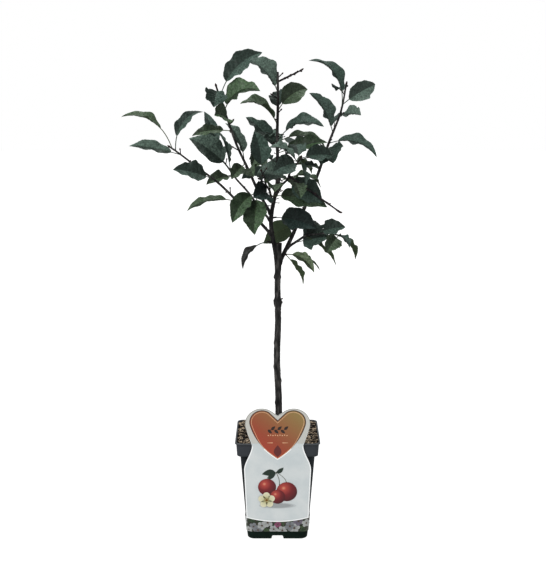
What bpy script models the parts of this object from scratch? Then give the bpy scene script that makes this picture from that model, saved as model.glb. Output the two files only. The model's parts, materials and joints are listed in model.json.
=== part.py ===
"""A dwarf apple tree on one stem, in a square nursery pot with a heart-headed label.

Every limb leaves its parent at a share of the parent's length, and is told by the compass heading
it takes (degrees from +X towards +Y), its rise above level, its length, its bow and its thickness.
Leaves are told the same way, so one rule grows the stem, the boughs, the twigs and the leaves.
"""
import math
import random

import bmesh
import bpy
from mathutils import Matrix, Vector
from mathutils.bvhtree import BVHTree

GAP = 0.0003  # clearance between solids that touch

# Square pot, moulded with a deep rim
POT_HEIGHT = 0.228
BASE_HALF = 0.0664
BODY_HALF = 0.0815
RIM_FOOT_HALF = 0.0882
RIM_HALF = 0.0903
RIM_FOOT = 0.198
LIP_HALF = 0.0925
LIP_FOOT = 0.2245
CORNER_RADIUS = 0.013
CORNER_STEPS = 5
WALL = 0.0021
FLOOR = 0.013
EDGE_ROUND = 0.0015
FOOT_ROUND = 0.006
NOTCH_WIDTH = 0.029
NOTCH_TOP_WIDTH = 0.023
NOTCH_HEIGHT = 0.0095
NOTCH_DEPTH = 0.032
SOIL_TOP = 0.2185

# Label: a card that leans on the rim, and the printed sleeve round the foot of the pot
CARD_THICK = 0.0010
CARD_LEAN = 0.1168  # how far the card comes forward for each metre of height
CARD_FOOT = 0.043
CARD_SIDE_FOOT = 0.053
CARD_SIDE_HALF = 0.0685
SHOULDER_HALF = 0.0730
SHOULDER = 0.167
NECK_HALF = 0.0555
NECK = 0.225
LOBE_RADIUS = 0.0360
LOBE_OFFSET = 0.0342
LOBE_HEIGHT = 0.2735
HEART_NOTCH = 0.2935
SLEEVE_FOOT = 0.019
SLEEVE_TOP = 0.0535
SLEEVE_THICK = 0.0008

# Knots on the trunk: share of its length, compass heading, height of the bump, spread in metres
KNOTS = (
    (0.175, 190, 0.0016, 0.0045),
    (0.290, 350, 0.0014, 0.0045),
    (0.365, 185, 0.0013, 0.0045),
    (0.490, 175, 0.0014, 0.0045),
    (0.700, 350, 0.0024, 0.0040),
    (0.710, 175, 0.0014, 0.0050),
)

# Limbs: thick is the diameter at foot and tip, lift and swing bow the axis by a share of its
# length, a swelling is a place, a spread and the extra radius there, and enters is the share at
# which the limb enters its foliage.
LIMBS = {
    "trunk": dict(parent=None, heading=180, rise=89.8, length=0.4345, lift=-0.009,
                  thick=(0.0152, 0.0124),
                  swellings=((0.0, 0.045, 0.0030), (0.10, 0.02, 0.0006), (0.695, 0.018, 0.0020),
                             (0.905, 0.035, 0.0012)), knots=KNOTS, rings=40, sides=10, level=True),
    "leader": dict(parent="trunk", share=0.82, heading=180, rise=90, length=0.444,
                   thick=(0.0105, 0.0044), kink=(0.28, 0.15, -0.0135), enters=0.60, rings=14),
    "bough_left_low": dict(parent="leader", share=0.212, heading=193, rise=41, length=0.297,
                           lift=0.03, thick=(0.0065, 0.0032), enters=0.30),
    "bough_left_mid": dict(parent="leader", share=0.282, heading=142, rise=43, length=0.219,
                           thick=(0.0052, 0.0030), enters=0.56),
    "bough_left_high": dict(parent="leader", share=0.315, heading=227, rise=59, length=0.319,
                            lift=-0.035, thick=(0.0066, 0.0034), enters=0.30),
    "bough_right_mid": dict(parent="leader", share=0.405, heading=294, rise=34, length=0.158,
                            thick=(0.0052, 0.0030), enters=0.38),
    "bough_right_high": dict(parent="trunk", share=0.89, heading=38, rise=64, length=0.445,
                             lift=-0.035, kink=(0.85, 0.12, -0.007), thick=(0.0092, 0.0034),
                             enters=0.49),
    "bough_right_spread": dict(parent="bough_right_high", share=0.085, heading=322, rise=15,
                               length=0.153, lift=0.12, thick=(0.0056, 0.0030), enters=0.12),
    "bough_front": dict(parent="leader", share=0.374, heading=260, rise=28, length=0.161,
                        thick=(0.0054, 0.0030), enters=0.20),
    "bough_back": dict(parent="leader", share=0.35, heading=77, rise=37, length=0.205,
                       lift=0.03, thick=(0.0056, 0.0030), enters=0.30),
}
TRUNK_FOOT = Vector((0.0045, 0.0, SOIL_TOP + GAP))

# Foliage: the stem each mass grows on, its seeded twigs, and the leaves that show clearly as
# (share, heading, rise, length mm, breadth mm, turn about its midrib, bow, share of the length
# that is stalk). A bare twig is (share, heading, rise, length mm).
MASSES = {
    "foliage_left_low": dict(
        limb="bough_left_low", seed=3, twigs=3, twig_leaves=0,
        leaves=((0.97, 197, 34, 127, 28, 30, 0.19, 0.34), (0.89, 201, 12, 113, 30, 50, 0.02, 0.20),
                (0.94, 28, 53, 108, 26, -40, 0.20, 0.25), (0.60, 207, 15, 94, 42, 65, 0.03, 0.20),
                (0.36, 195, -7, 114, 26, 25, 0.11, 0.22))),
    "foliage_left_mid": dict(
        limb="bough_left_mid", seed=5, twigs=3, twig_leaves=0,
        leaves=((0.64, 220, -9, 78, 32, 35, 0.05, 0.20), (0.75, 200, 38, 112, 58, 70, 0.05, 0.18),
                (0.95, 149, 69, 104, 26, 55, 0.08, 0.20), (0.72, 219, 72, 92, 30, 45, 0.05, 0.20),
                (0.85, 95, 20, 88, 42, 0, 0.10, 0.25))),
    "foliage_left_high": dict(
        limb="bough_left_high", seed=7, twigs=4, twig_leaves=1,
        leaves=((0.73, 248, 16, 67, 48, 60, 0.10, 0.27), (0.68, 198, -5, 84, 26, 45, 0.06, 0.20),
                (0.91, 19, 46, 132, 42, -50, 0.13, 0.25), (0.82, 336, 28, 90, 46, -60, 0.22, 0.12),
                (0.965, 265, -36, 58, 46, 20, 0.08, 0.18), (0.45, 162, 64, 91, 28, 30, 0.10, 0.20),
                (0.43, 227, -36, 51, 28, 50, 0.05, 0.20), (0.37, 55, 25, 68, 36, -40, 0.08, 0.20),
                (0.35, 343, -4, 76, 44, -55, 0.04, 0.20))),
    "foliage_top": dict(
        limb="leader", seed=11, twigs=5, twig_leaves=1,
        leaves=((0.90, 205, 45, 99, 52, 55, 0.12, 0.16), (0.63, 163, 46, 101, 38, 40, 0.04, 0.12),
                (0.75, 207, 29, 100, 44, 30, 0.18, 0.14), (0.815, 28, 34, 90, 44, -70, 0.12, 0.20),
                (0.80, 88, 45, 78, 34, 20, 0.08, 0.25), (0.67, 343, 19, 109, 36, -35, 0.20, 0.24),
                (0.665, 20, -5, 119, 28, -30, 0.18, 0.22), (0.615, 344, 14, 112, 36, -60, 0.02, 0.20)),
        bare=((0.955, 21, 25, 61),)),
    "foliage_right_mid": dict(
        limb="bough_right_mid", seed=13, twigs=3, twig_leaves=1,
        leaves=((0.96, 20, 5, 74, 36, -60, 0.06, 0.18), (0.94, 97, 28, 68, 36, 0, 0.06, 0.20),
                (0.87, 209, 28, 74, 32, 40, 0.12, 0.15), (0.85, 228, -12, 74, 42, 55, 0.06, 0.12),
                (0.45, 330, -28, 95, 50, -65, 0.04, 0.15), (0.50, 22, -15, 83, 26, -20, 0.18, 0.20),
                (0.96, 291, -59, 62, 28, 60, 0.05, 0.20)),
        bare=((0.55, 339, -33, 136),)),
    "foliage_right_high": dict(
        limb="bough_right_high", seed=17, twigs=4, twig_leaves=0,
        leaves=((0.86, 164, 57, 138, 38, 25, 0.22, 0.26), (0.885, 30, 27, 104, 44, -70, 0.04, 0.20),
                (0.73, 210, 57, 106, 46, 65, 0.08, 0.14), (0.83, 317, 2, 60, 38, -40, 0.05, 0.18),
                (0.67, 344, -13, 115, 32, -35, 0.16, 0.17), (0.65, 278, -26, 71, 56, -10, 0.06, 0.14),
                (0.62, 257, -22, 61, 34, 30, 0.05, 0.20), (0.53, 235, 8, 62, 26, 30, 0.06, 0.20),
                (0.76, 92, 12, 88, 42, 0, 0.12, 0.25), (0.93, 100, 12, 84, 36, 0, 0.10, 0.25),
                (0.60, 75, 5, 92, 44, 0, 0.12, 0.25))),
    "foliage_right_spread": dict(
        limb="bough_right_spread", seed=19, twigs=2, twig_leaves=0,
        leaves=((0.17, 330, 13, 88, 54, -70, 0.02, 0.27), (0.58, 332, 16, 70, 36, -60, 0.05, 0.27),
                (0.96, 237, -32, 56, 36, 50, 0.05, 0.20), (0.97, 29, -50, 68, 22, 10, 0.10, 0.20),
                (0.93, 296, -19, 59, 22, 10, 0.10, 0.20), (0.40, 348, -40, 92, 26, 30, 0.06, 0.20),
                (0.60, 80, 5, 84, 42, 0, 0.12, 0.25))),
    "foliage_front": dict(
        limb="bough_front", seed=23, twigs=4, twig_leaves=2,
        leaves=((0.32, 246, -2, 78, 52, 60, 0.04, 0.25), (0.24, 345, -9, 124, 44, -60, 0.06, 0.18),
                (0.97, 180, 80, 82, 40, 80, 0.05, 0.18))),
    "foliage_back": dict(
        limb="bough_back", seed=29, twigs=7, twig_leaves=6,
        leaves=((0.97, 70, 12, 95, 44, 15, 0.12, 0.25), (0.60, 120, 5, 90, 42, 20, 0.10, 0.25))),
}

# Short spurs that carry leaves straight off a limb, with a stem of their own
SPURS = {
    "foliage_low_right": dict(
        parent="bough_right_high", share=0.055, heading=287, rise=12, length=0.021,
        leaves=((0.9, 322, -22, 84, 24, -30, 0.14, 0.20), (0.7, 345, -20, 86, 18, 0, 0.12, 0.20),
                (0.8, 348, -56, 78, 24, 40, 0.06, 0.20))),
    "foliage_low_left": dict(
        parent="leader", share=0.178, heading=200, rise=14, length=0.016,
        leaves=((0.8, 207, -41, 86, 20, 20, 0.18, 0.30),)),
    "foliage_left_hanging": dict(
        parent="bough_left_high", share=0.17, heading=247, rise=25, length=0.024,
        leaves=((0.9, 221, -42, 90, 40, 35, 0.12, 0.18), (0.75, 262, -58, 98, 50, 0, 0.06, 0.20))),
    "foliage_behind": dict(
        parent="bough_right_high", share=0.235, heading=109, rise=-10, length=0.016,
        leaves=((0.85, 144, -30, 100, 48, -70, 0.04, 0.18),)),
    "foliage_right_centre": dict(
        parent="leader", share=0.30, heading=317, rise=10, length=0.015,
        leaves=((0.85, 342, -12, 94, 50, -65, 0.05, 0.15),)),
}
SPUR_THICK = (0.0040, 0.0030)

# Leaves
TWIG_LEAF_STALK = 0.25
PETIOLE_HALF = (0.0009, 0.0007)
LEAF_THICK = 0.0013
LEAF_FOLD = 0.30
BLADE_STATIONS = (0.0, 0.12, 0.30, 0.50, 0.70, 0.87)
CLEARANCE = 0.0007

# Stems of the masses, and twigs
STEM_RINGS = 7
STEM_SIDES = 6
TWIG_SIDES = 4
TWIG_THICK = (0.0024, 0.0018)
BARE_THICK = (0.0034, 0.0022)
TWIG_LENGTH = (0.010, 0.020)
TWIG_SPREAD = 52
GOLDEN_ANGLE = 137.5
TWIG_LEAF_LENGTH = (0.072, 0.092)
TWIG_LEAF_BREADTH = (0.034, 0.044)
SPACE = 0.36  # the furthest from the stem's axis that a leaf may reach, level with it
SPACE_TOP = 1.066

WAVER = 0.0014  # how far a limb strays from its smooth axis
WAVER_TURNS = 2.3


def make_material(name, colour, roughness, metallic=0.0):
    """A plain finish in the part's colour."""
    material = bpy.data.materials.new(name)
    material.use_nodes = True
    shader = material.node_tree.nodes["Principled BSDF"]
    shader.inputs["Base Color"].default_value = (*colour, 1.0)
    shader.inputs["Roughness"].default_value = roughness
    shader.inputs["Metallic"].default_value = metallic
    return material


def add_object(name, bm, material, smooth_angle=None):
    """Turns a bmesh into a named object with outward faces."""
    bmesh.ops.recalc_face_normals(bm, faces=bm.faces)
    if bm.calc_volume(signed=True) < 0:
        bmesh.ops.reverse_faces(bm, faces=bm.faces)
    mesh = bpy.data.meshes.new(name)
    bm.to_mesh(mesh)
    bm.free()
    if smooth_angle:
        mesh.shade_smooth()
        mesh.set_sharp_from_angle(angle=math.radians(smooth_angle))
    mesh.materials.append(material)
    thing = bpy.data.objects.new(name, mesh)
    bpy.context.scene.collection.objects.link(thing)
    return thing


def loft(rings, start=True, end=True):
    """A closed skin over rings of points, capped at either end by a face or a single point."""
    bm = bmesh.new()
    loops = [[bm.verts.new(point) for point in ring] for ring in rings]
    for low, high in zip(loops, loops[1:]):
        if len(high) == 1:
            for i in range(len(low)):
                bm.faces.new((low[i], low[(i + 1) % len(low)], high[0]))
            continue
        for i in range(len(low)):
            j = (i + 1) % len(low)
            bm.faces.new((low[i], low[j], high[j], high[i]))
    if start:
        bm.faces.new(loops[0])
    if end and len(loops[-1]) > 1:
        bm.faces.new(loops[-1])
    return bm


def directions(heading, rise):
    """Unit vectors along a heading and rise, lifted from it, and level to its right."""
    h = math.radians(heading)
    e = math.radians(rise)
    along = Vector((math.cos(e) * math.cos(h), math.cos(e) * math.sin(h), math.sin(e)))
    lifted = Vector((-math.sin(e) * math.cos(h), -math.sin(e) * math.sin(h), math.cos(e)))
    right = Vector((math.sin(h), -math.cos(h), 0.0))
    return along, lifted, right


def bump(place, centre, spread):
    """A smooth hump of height one at its centre."""
    return math.exp(-((place - centre) / spread) ** 2)


class Limb:
    """One tapering stem on a bowed axis, measured by shares from its foot, 0, to its tip, 1.

    Its solid ends at the share where it enters its foliage, which goes on along the same axis.
    """

    def __init__(self, foot, heading, rise, length, thick, lift=0.0, swing=0.0, kink=None,
                 swellings=(), knots=(), enters=1.0, rings=9, sides=8, level=False,
                 waver_seed=None):
        self.foot = foot
        self.length = length
        self.thick = thick
        self.bow = (lift, swing)
        self.kink = kink
        self.swellings = swellings
        self.knots = knots
        self.enters = enters
        self.rings = rings
        self.sides = sides
        self.level = level
        self.along, self.lifted, self.right = directions(heading, rise)
        chance = random.Random(waver_seed)
        self.phases = (chance.random(), chance.random())
        self.waver = WAVER if waver_seed is not None else 0.0

    def point(self, share):
        """The place on the axis at a share of the length."""
        arch = 4.0 * share * (1.0 - share)
        lift = self.bow[0] * self.length * arch
        swing = self.bow[1] * self.length * arch
        if self.kink:
            centre, spread, offset = self.kink
            lift += offset * bump(share, centre, spread)
        calm = self.waver * math.sin(math.pi * min(max(share, 0.0), 1.0))
        lift += calm * math.sin(math.tau * (WAVER_TURNS * share + self.phases[0]))
        swing += calm * math.sin(math.tau * (WAVER_TURNS * share + self.phases[1]))
        return self.foot + self.along * self.length * share + self.lifted * lift + self.right * swing

    def heading_at(self, share):
        """The axis's direction there, as a unit vector."""
        step = 0.004
        return (self.point(share + step) - self.point(share - step)).normalized()

    def radius(self, share):
        """Half the thickness there."""
        foot, tip = self.thick
        extra = sum(growth * bump(share, place, spread) for place, spread, growth in self.swellings)
        return (foot + (tip - foot) * share) / 2.0 + extra

    def ring(self, share, sides, grow=0.0):
        """Points round the axis, square to it or level, pushed out where a knot stands."""
        along = Vector((0.0, 0.0, 1.0)) if self.level else self.heading_at(share)
        across = along.cross(Vector((0.0, 1.0, 0.0))).normalized()
        upward = across.cross(along).normalized()
        centre = self.point(share)
        points = []
        for i in range(sides):
            angle = math.tau * i / sides
            outward = across * math.cos(angle) + upward * math.sin(angle)
            reach = self.radius(share) + grow
            for place, heading, height, spread in self.knots:
                facing = max(0.0, outward.dot(directions(heading, 0)[0]))
                reach += height * facing ** 3 * bump((share - place) * self.length, 0.0, spread)
            points.append(centre + outward * reach)
        return points


    def stretch(self, first, last, rings, sides, grow=0.0):
        """The closed skin of part of the limb."""
        shares = [first + (last - first) * i / (rings - 1) for i in range(rings)]
        return loft([self.ring(share, sides, grow) for share in shares])

    def solid(self, grow=0.0):
        """The closed skin from the foot to where the limb enters its foliage."""
        return self.stretch(0.0, self.enters, self.rings, self.sides, grow)


def evaluated_mesh(thing):
    """The object's mesh with its modifiers applied."""
    graph = bpy.context.evaluated_depsgraph_get()
    return bpy.data.meshes.new_from_object(thing.evaluated_get(graph))


def apply_boolean(thing, operation, other):
    """Cuts or joins an object with another object, or with every object of a collection."""
    modifier = thing.modifiers.new(operation.title(), "BOOLEAN")
    modifier.operation = operation
    modifier.solver = "EXACT"
    if isinstance(other, bpy.types.Collection):
        modifier.operand_type = "COLLECTION"
        modifier.collection = other
    else:
        modifier.object = other
    result = evaluated_mesh(thing)
    thing.modifiers.clear()
    thing.data = result


def keep_main_body(thing):
    """Drops loose scraps and fills sealed hollows, which are both islands beside the main one."""
    bm = bmesh.new()
    bm.from_mesh(thing.data)
    unseen = set(bm.verts)
    islands = []
    while unseen:
        front = [unseen.pop()]
        island = list(front)
        while front:
            vertex = front.pop()
            for edge in vertex.link_edges:
                neighbour = edge.other_vert(vertex)
                if neighbour in unseen:
                    unseen.remove(neighbour)
                    front.append(neighbour)
                    island.append(neighbour)
        islands.append(island)
    islands.sort(key=len, reverse=True)
    for island in islands[1:]:
        bmesh.ops.delete(bm, geom=island, context="VERTS")
    bm.to_mesh(thing.data)
    bm.free()


def remove_object(thing):
    """Takes a spent helper out of the file."""
    bpy.data.objects.remove(thing, do_unlink=True)


def cut_clear(thing, cutter_skin):
    """Cuts an object's foot to the shape of its parent, a gap clear of it."""
    cutter = add_object("foot_cutter", cutter_skin, thing.data.materials[0])
    cutter.hide_render = True
    cutter.display_type = "WIRE"
    apply_boolean(thing, "DIFFERENCE", cutter)
    remove_object(cutter)
    keep_main_body(thing)


def rounded_square(half, height, radius=CORNER_RADIUS):
    """A level square outline with round corners."""
    points = []
    for corner in range(4):
        middle = math.radians(45 + 90 * corner)
        centre_x = math.copysign(half - radius, math.cos(middle))
        centre_y = math.copysign(half - radius, math.sin(middle))
        for i in range(CORNER_STEPS):
            angle = middle + math.radians(90) * (i / (CORNER_STEPS - 1) - 0.5)
            points.append(Vector((centre_x + radius * math.cos(angle),
                                  centre_y + radius * math.sin(angle), height)))
    return points


def pot_half(height):
    """Half the pot's outer width below its rim."""
    return BASE_HALF + (BODY_HALF - BASE_HALF) * height / RIM_FOOT


def notch_skin(turn):
    """A cutter for the slant-sided notch in the middle of one side of the foot."""
    outline = ((-NOTCH_WIDTH / 2, -EDGE_ROUND), (NOTCH_WIDTH / 2, -EDGE_ROUND),
               (NOTCH_TOP_WIDTH / 2, NOTCH_HEIGHT), (-NOTCH_TOP_WIDTH / 2, NOTCH_HEIGHT))
    rings = []
    for reach in (BASE_HALF - NOTCH_DEPTH, BASE_HALF + NOTCH_DEPTH):
        rings.append([turn @ Vector((reach, across, height)) for across, height in outline])
    return loft(rings)


def build_pot(material):
    """The pot: tapering walls, a deep rim with a lip, and a round-edged foot with four notches."""
    inner_rim = RIM_HALF - 1.4 * WALL
    chamfer = FOOT_ROUND * (1.0 - math.cos(math.radians(45)))
    profile = (
        (BASE_HALF - FOOT_ROUND, 0.0), (BASE_HALF - chamfer, chamfer), (BASE_HALF, FOOT_ROUND),
        (BODY_HALF, RIM_FOOT - 0.001), (RIM_FOOT_HALF - EDGE_ROUND / 2, RIM_FOOT - 0.001),
        (RIM_FOOT_HALF, RIM_FOOT), (RIM_HALF, LIP_FOOT), (LIP_HALF, LIP_FOOT + EDGE_ROUND / 2),
        (LIP_HALF, POT_HEIGHT - EDGE_ROUND / 2), (LIP_HALF - EDGE_ROUND / 2, POT_HEIGHT),
        (inner_rim + EDGE_ROUND / 2, POT_HEIGHT),
        (inner_rim, POT_HEIGHT - EDGE_ROUND), (RIM_FOOT_HALF - WALL, RIM_FOOT + 0.0015),
        (BODY_HALF - WALL, RIM_FOOT + 0.0015), (BASE_HALF + 0.0005 - WALL, FLOOR),
    )
    pot = add_object("pot", loft([rounded_square(half, height) for half, height in profile]),
                     material, smooth_angle=30)
    for quarter in range(4):
        cut_clear(pot, notch_skin(Matrix.Rotation(math.tau * quarter / 4, 3, "Z")))
    return pot


def build_soil(material):
    """The soil: fills the pot to just under its rim."""
    inner_rim = RIM_HALF - 1.4 * WALL
    slope = (inner_rim - RIM_FOOT_HALF + WALL) / (POT_HEIGHT - EDGE_ROUND - RIM_FOOT - 0.0015)
    top_half = inner_rim - (POT_HEIGHT - EDGE_ROUND - SOIL_TOP) * slope
    profile = (
        (BASE_HALF + 0.0005 - WALL - GAP, FLOOR + GAP),
        (BODY_HALF - WALL - GAP, RIM_FOOT + 0.0015 + GAP),
        (RIM_FOOT_HALF - WALL - GAP, RIM_FOOT + 0.0015 + GAP),
        (top_half - GAP, SOIL_TOP),
    )
    return add_object("soil", loft([rounded_square(half, height) for half, height in profile]),
                      material)


def card_outline():
    """The right half of the card, from the notch of its heart down to the middle of its foot."""
    points = [(0.0, HEART_NOTCH)]
    for i in range(10):
        angle = math.radians(128 - 17 * i)
        points.append((LOBE_OFFSET + LOBE_RADIUS * math.cos(angle),
                       LOBE_HEIGHT + LOBE_RADIUS * math.sin(angle)))
    for i in range(7):
        share = i / 6
        ease = share * share * (3 - 2 * share)
        points.append((NECK_HALF + (SHOULDER_HALF - NECK_HALF) * ease,
                       NECK + (SHOULDER - NECK) * share))
    for i in range(6):
        half = CARD_SIDE_HALF * (1 - i / 5)
        sag = (CARD_SIDE_FOOT - CARD_FOOT) * (1 - (half / CARD_SIDE_HALF) ** 2)
        points.append((half, CARD_SIDE_FOOT - sag))
    return points


def card_plane(height):
    """How far forward the back of the card stands at a height, leaning on the pot's lip."""
    return -(LIP_HALF + GAP) - (height - LIP_FOOT) * CARD_LEAN


def build_card(material):
    """The card: one flat sheet with a heart for its head, its faces fanned from a hub."""
    right = card_outline()
    left = [(-across, height) for across, height in reversed(right[1:-1])]
    outline = right + left
    sides = (0.0, CARD_THICK)
    bm = loft([[Vector((across, card_plane(height) - depth, height)) for across, height in outline]
               for depth in sides], start=False, end=False)
    edges = list(bm.verts)
    for k, depth in enumerate(sides):
        hub = bm.verts.new((0.0, card_plane(NECK) - depth, NECK))
        rim = edges[k * len(outline):(k + 1) * len(outline)]
        for i in range(len(rim)):
            bm.faces.new((rim[i], rim[(i + 1) % len(rim)], hub))
    return add_object("label_card", bm, material)


def build_sleeve(material):
    """The sleeve: a printed band wrapped right round the foot of the pot."""
    bm = bmesh.new()
    loops = []
    for height, offset in ((SLEEVE_FOOT, GAP), (SLEEVE_TOP, GAP),
                           (SLEEVE_TOP, GAP + SLEEVE_THICK), (SLEEVE_FOOT, GAP + SLEEVE_THICK)):
        ring = rounded_square(pot_half(height) + offset, height, CORNER_RADIUS + offset)
        loops.append([bm.verts.new(point) for point in ring])
    for k in range(4):
        low = loops[k]
        high = loops[(k + 1) % 4]
        for i in range(len(low)):
            j = (i + 1) % len(low)
            bm.faces.new((low[i], low[j], high[j], high[i]))
    return add_object("label_sleeve", bm, material, smooth_angle=30)


def leaf_skin(node, row, pad=0.0, blade_only=False):
    """One leaf: a slim stalk that opens into a folded, bowed blade with a pointed tip."""
    heading, rise, length, breadth, turn, lift, stalk = row
    midrib = Limb(node, heading, rise, length, (0.0, 0.0), lift=lift)
    side = midrib.right
    tilt = math.radians(turn)
    rings = []

    def station(share, half, fold, thick):
        along = midrib.heading_at(share)
        normal = side.cross(along).normalized()
        across = side * math.cos(tilt) + normal * math.sin(tilt)
        face = normal * math.cos(tilt) - side * math.sin(tilt)
        middle = midrib.point(share)
        edge = face * (fold * half)
        rings.append([middle + across * half + edge, middle + face * thick,
                      middle - across * half + edge, middle - face * thick])

    if not blade_only:
        station(0.0, PETIOLE_HALF[0] + pad, 0.0, PETIOLE_HALF[0] + pad)
        station(stalk * 0.55, PETIOLE_HALF[1] + pad, 0.0, PETIOLE_HALF[1] + pad)
    for v in BLADE_STATIONS:
        half = max(breadth / 2.0 * math.sin(math.pi * v ** 0.8) ** 0.8, PETIOLE_HALF[1])
        share = stalk + (1.0 - stalk) * v
        station(share, half + pad, LEAF_FOLD if v else 0.0, LEAF_THICK / 2.0 + pad)
    rings.append([midrib.point(1.0) + midrib.along * pad])
    return loft(rings)


def tree_of(bm):
    """A search tree over a bmesh, which is then freed."""
    tree = BVHTree.FromBMesh(bm)
    bm.free()
    return tree


def object_tree(thing):
    """A search tree over an object's mesh."""
    bm = bmesh.new()
    bm.from_mesh(thing.data)
    return tree_of(bm)


def inside_space(points):
    """Whether all the points keep to the tree's own space, above the pot and under its top."""
    return all(math.hypot(p.x, p.y) < SPACE and POT_HEIGHT < p.z < SPACE_TOP for p in points)


def grow_leaf(node, row, neighbours, own_blades):
    """A leaf's skin, or nothing where it would leave its space or touch a limb or a leaf."""
    test = leaf_skin(node, row, pad=CLEARANCE)
    roomy = inside_space([vertex.co for vertex in test.verts])
    whole = tree_of(test)
    blade = tree_of(leaf_skin(node, row, pad=CLEARANCE, blade_only=True))
    touches = any(whole.overlap(tree) for tree in neighbours)
    crosses = any(blade.overlap(tree) for tree in own_blades)
    if touches or crosses or not roomy:
        return None
    own_blades.append(tree_of(leaf_skin(node, row, blade_only=True)))
    return leaf_skin(node, row)


def twig_limbs(stem, first, spec):
    """Short twigs set round the stem by the golden angle, each with its place from the seed."""
    chance = random.Random(spec["seed"])
    count = spec["twigs"]
    azimuth = chance.uniform(0, 360)
    for k in range(count):
        share = first + (1.0 - first) * (k + 0.35 + 0.5 * chance.random()) / (count + 0.2)
        azimuth += GOLDEN_ANGLE
        along = stem.heading_at(share)
        across = along.cross(Vector((0.0, 1.0, 0.0))).normalized()
        upward = across.cross(along).normalized()
        spread = math.radians(TWIG_SPREAD + chance.uniform(-8, 8))
        outward = (across * math.cos(math.radians(azimuth))
                   + upward * math.sin(math.radians(azimuth)))
        way = along * math.cos(spread) + outward * math.sin(spread)
        heading = math.degrees(math.atan2(way.y, way.x))
        rise = math.degrees(math.asin(way.z))
        twig = Limb(stem.point(share), heading, rise, chance.uniform(*TWIG_LENGTH), TWIG_THICK)
        leaf = (heading + chance.uniform(-20, 20), rise * 0.3 + chance.uniform(-30, 15),
                chance.uniform(*TWIG_LEAF_LENGTH), chance.uniform(*TWIG_LEAF_BREADTH),
                chance.uniform(-40, 40), chance.uniform(0.06, 0.18), TWIG_LEAF_STALK)
        yield twig, leaf


def bare_twigs(stem, spec):
    """The longer twigs without leaves that show clearly."""
    for share, heading, rise, length in spec.get("bare", ()):
        yield Limb(stem.point(share), heading, rise, length / 1000.0, BARE_THICK), None


def build_mass(name, stem, first, spec, neighbours, material, cutter=None):
    """One mass of foliage: its stem, twigs and leaves joined into a single solid."""
    mass = add_object(name, stem.stretch(first, 1.0, STEM_RINGS, STEM_SIDES), material)
    if cutter:
        cut_clear(mass, cutter)
    own_blades = [tree_of(stem.stretch(first, 1.0, STEM_RINGS, STEM_SIDES))]
    growth = bpy.data.collections.new(name + "_growth")
    bpy.context.scene.collection.children.link(growth)
    skins = []
    for number, row in enumerate(spec["leaves"]):
        share, heading, rise, length, breadth, turn, lift, stalk = row
        leaf_row = (heading, rise, length / 1000.0, breadth / 1000.0, turn, lift, stalk)
        skin = grow_leaf(stem.point(share), leaf_row, neighbours, own_blades)
        if skin:
            skins.append(skin)
        else:
            print(f"{name}: leaf {number} has no room")
    twig_leaves = 0
    offered = list(bare_twigs(stem, spec))
    if "twigs" in spec:
        offered += list(twig_limbs(stem, first, spec))
    for twig, leaf_row in offered:
        test = tree_of(twig.stretch(0.0, 1.1, 3, TWIG_SIDES, grow=CLEARANCE))
        obstacles = neighbours + own_blades[1:] if leaf_row else neighbours
        if any(test.overlap(tree) for tree in obstacles):
            continue
        skins.append(twig.stretch(0.0, 1.0, 2, TWIG_SIDES))
        if leaf_row and twig_leaves < spec["twig_leaves"]:
            skin = grow_leaf(twig.point(0.85), leaf_row, neighbours, own_blades)
            if skin:
                skins.append(skin)
                twig_leaves += 1
    for number, skin in enumerate(skins):
        piece = add_object(f"{name}_piece_{number}", skin, material)
        bpy.context.scene.collection.objects.unlink(piece)
        growth.objects.link(piece)
    apply_boolean(mass, "UNION", growth)
    for piece in list(growth.objects):
        remove_object(piece)
    bpy.data.collections.remove(growth)
    keep_main_body(mass)
    return mass


def limb_from(spec, foot, seed):
    """The limb that a row of LIMBS tells of."""
    shape = {key: value for key, value in spec.items() if key not in ("parent", "share")}
    return Limb(foot, waver_seed=seed, **shape)


def build_tree(bark, leafage):
    """Trunk, leader, boughs and masses, each cut clear of what it grows from."""
    limbs = {}
    solids = {}
    for seed, (name, spec) in enumerate(LIMBS.items()):
        parent = spec["parent"]
        foot = limbs[parent].point(spec["share"]) if parent else TRUNK_FOOT
        limbs[name] = limb_from(spec, foot, seed)
        solids[name] = add_object(name, limbs[name].solid(), bark, smooth_angle=50)
        if parent:
            cut_clear(solids[name], limbs[parent].solid(GAP))
    neighbours = [object_tree(solid) for solid in solids.values()]
    for name, spec in MASSES.items():
        stem = limbs[spec["limb"]]
        first = stem.enters + GAP / stem.length
        mass = build_mass(name, stem, first, spec, neighbours, leafage)
        neighbours.append(object_tree(mass))
    for name, spec in SPURS.items():
        parent = limbs[spec["parent"]]
        stem = Limb(parent.point(spec["share"]), spec["heading"], spec["rise"], spec["length"],
                    SPUR_THICK)
        mass = build_mass(name, stem, 0.0, spec, neighbours, leafage, parent.solid(GAP))
        neighbours.append(object_tree(mass))


def main():
    """Builds the whole tree in its pot."""
    for thing in list(bpy.data.objects):
        bpy.data.objects.remove(thing, do_unlink=True)
    build_pot(make_material("pot_plastic", (0.035, 0.041, 0.046), 0.45))
    build_soil(make_material("bark_mulch", (0.09, 0.06, 0.04), 0.95))
    build_card(make_material("label_print", (0.60, 0.64, 0.66), 0.35))
    build_sleeve(make_material("sleeve_print", (0.35, 0.33, 0.34), 0.35))
    build_tree(make_material("apple_bark", (0.055, 0.050, 0.048), 0.85),
               make_material("apple_leaf", (0.035, 0.060, 0.035), 0.50))


main()
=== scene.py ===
import json
import math
import random
from collections import defaultdict

import bmesh
import bpy
from mathutils import Matrix, Vector, noise
from mathutils.bvhtree import BVHTree

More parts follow.
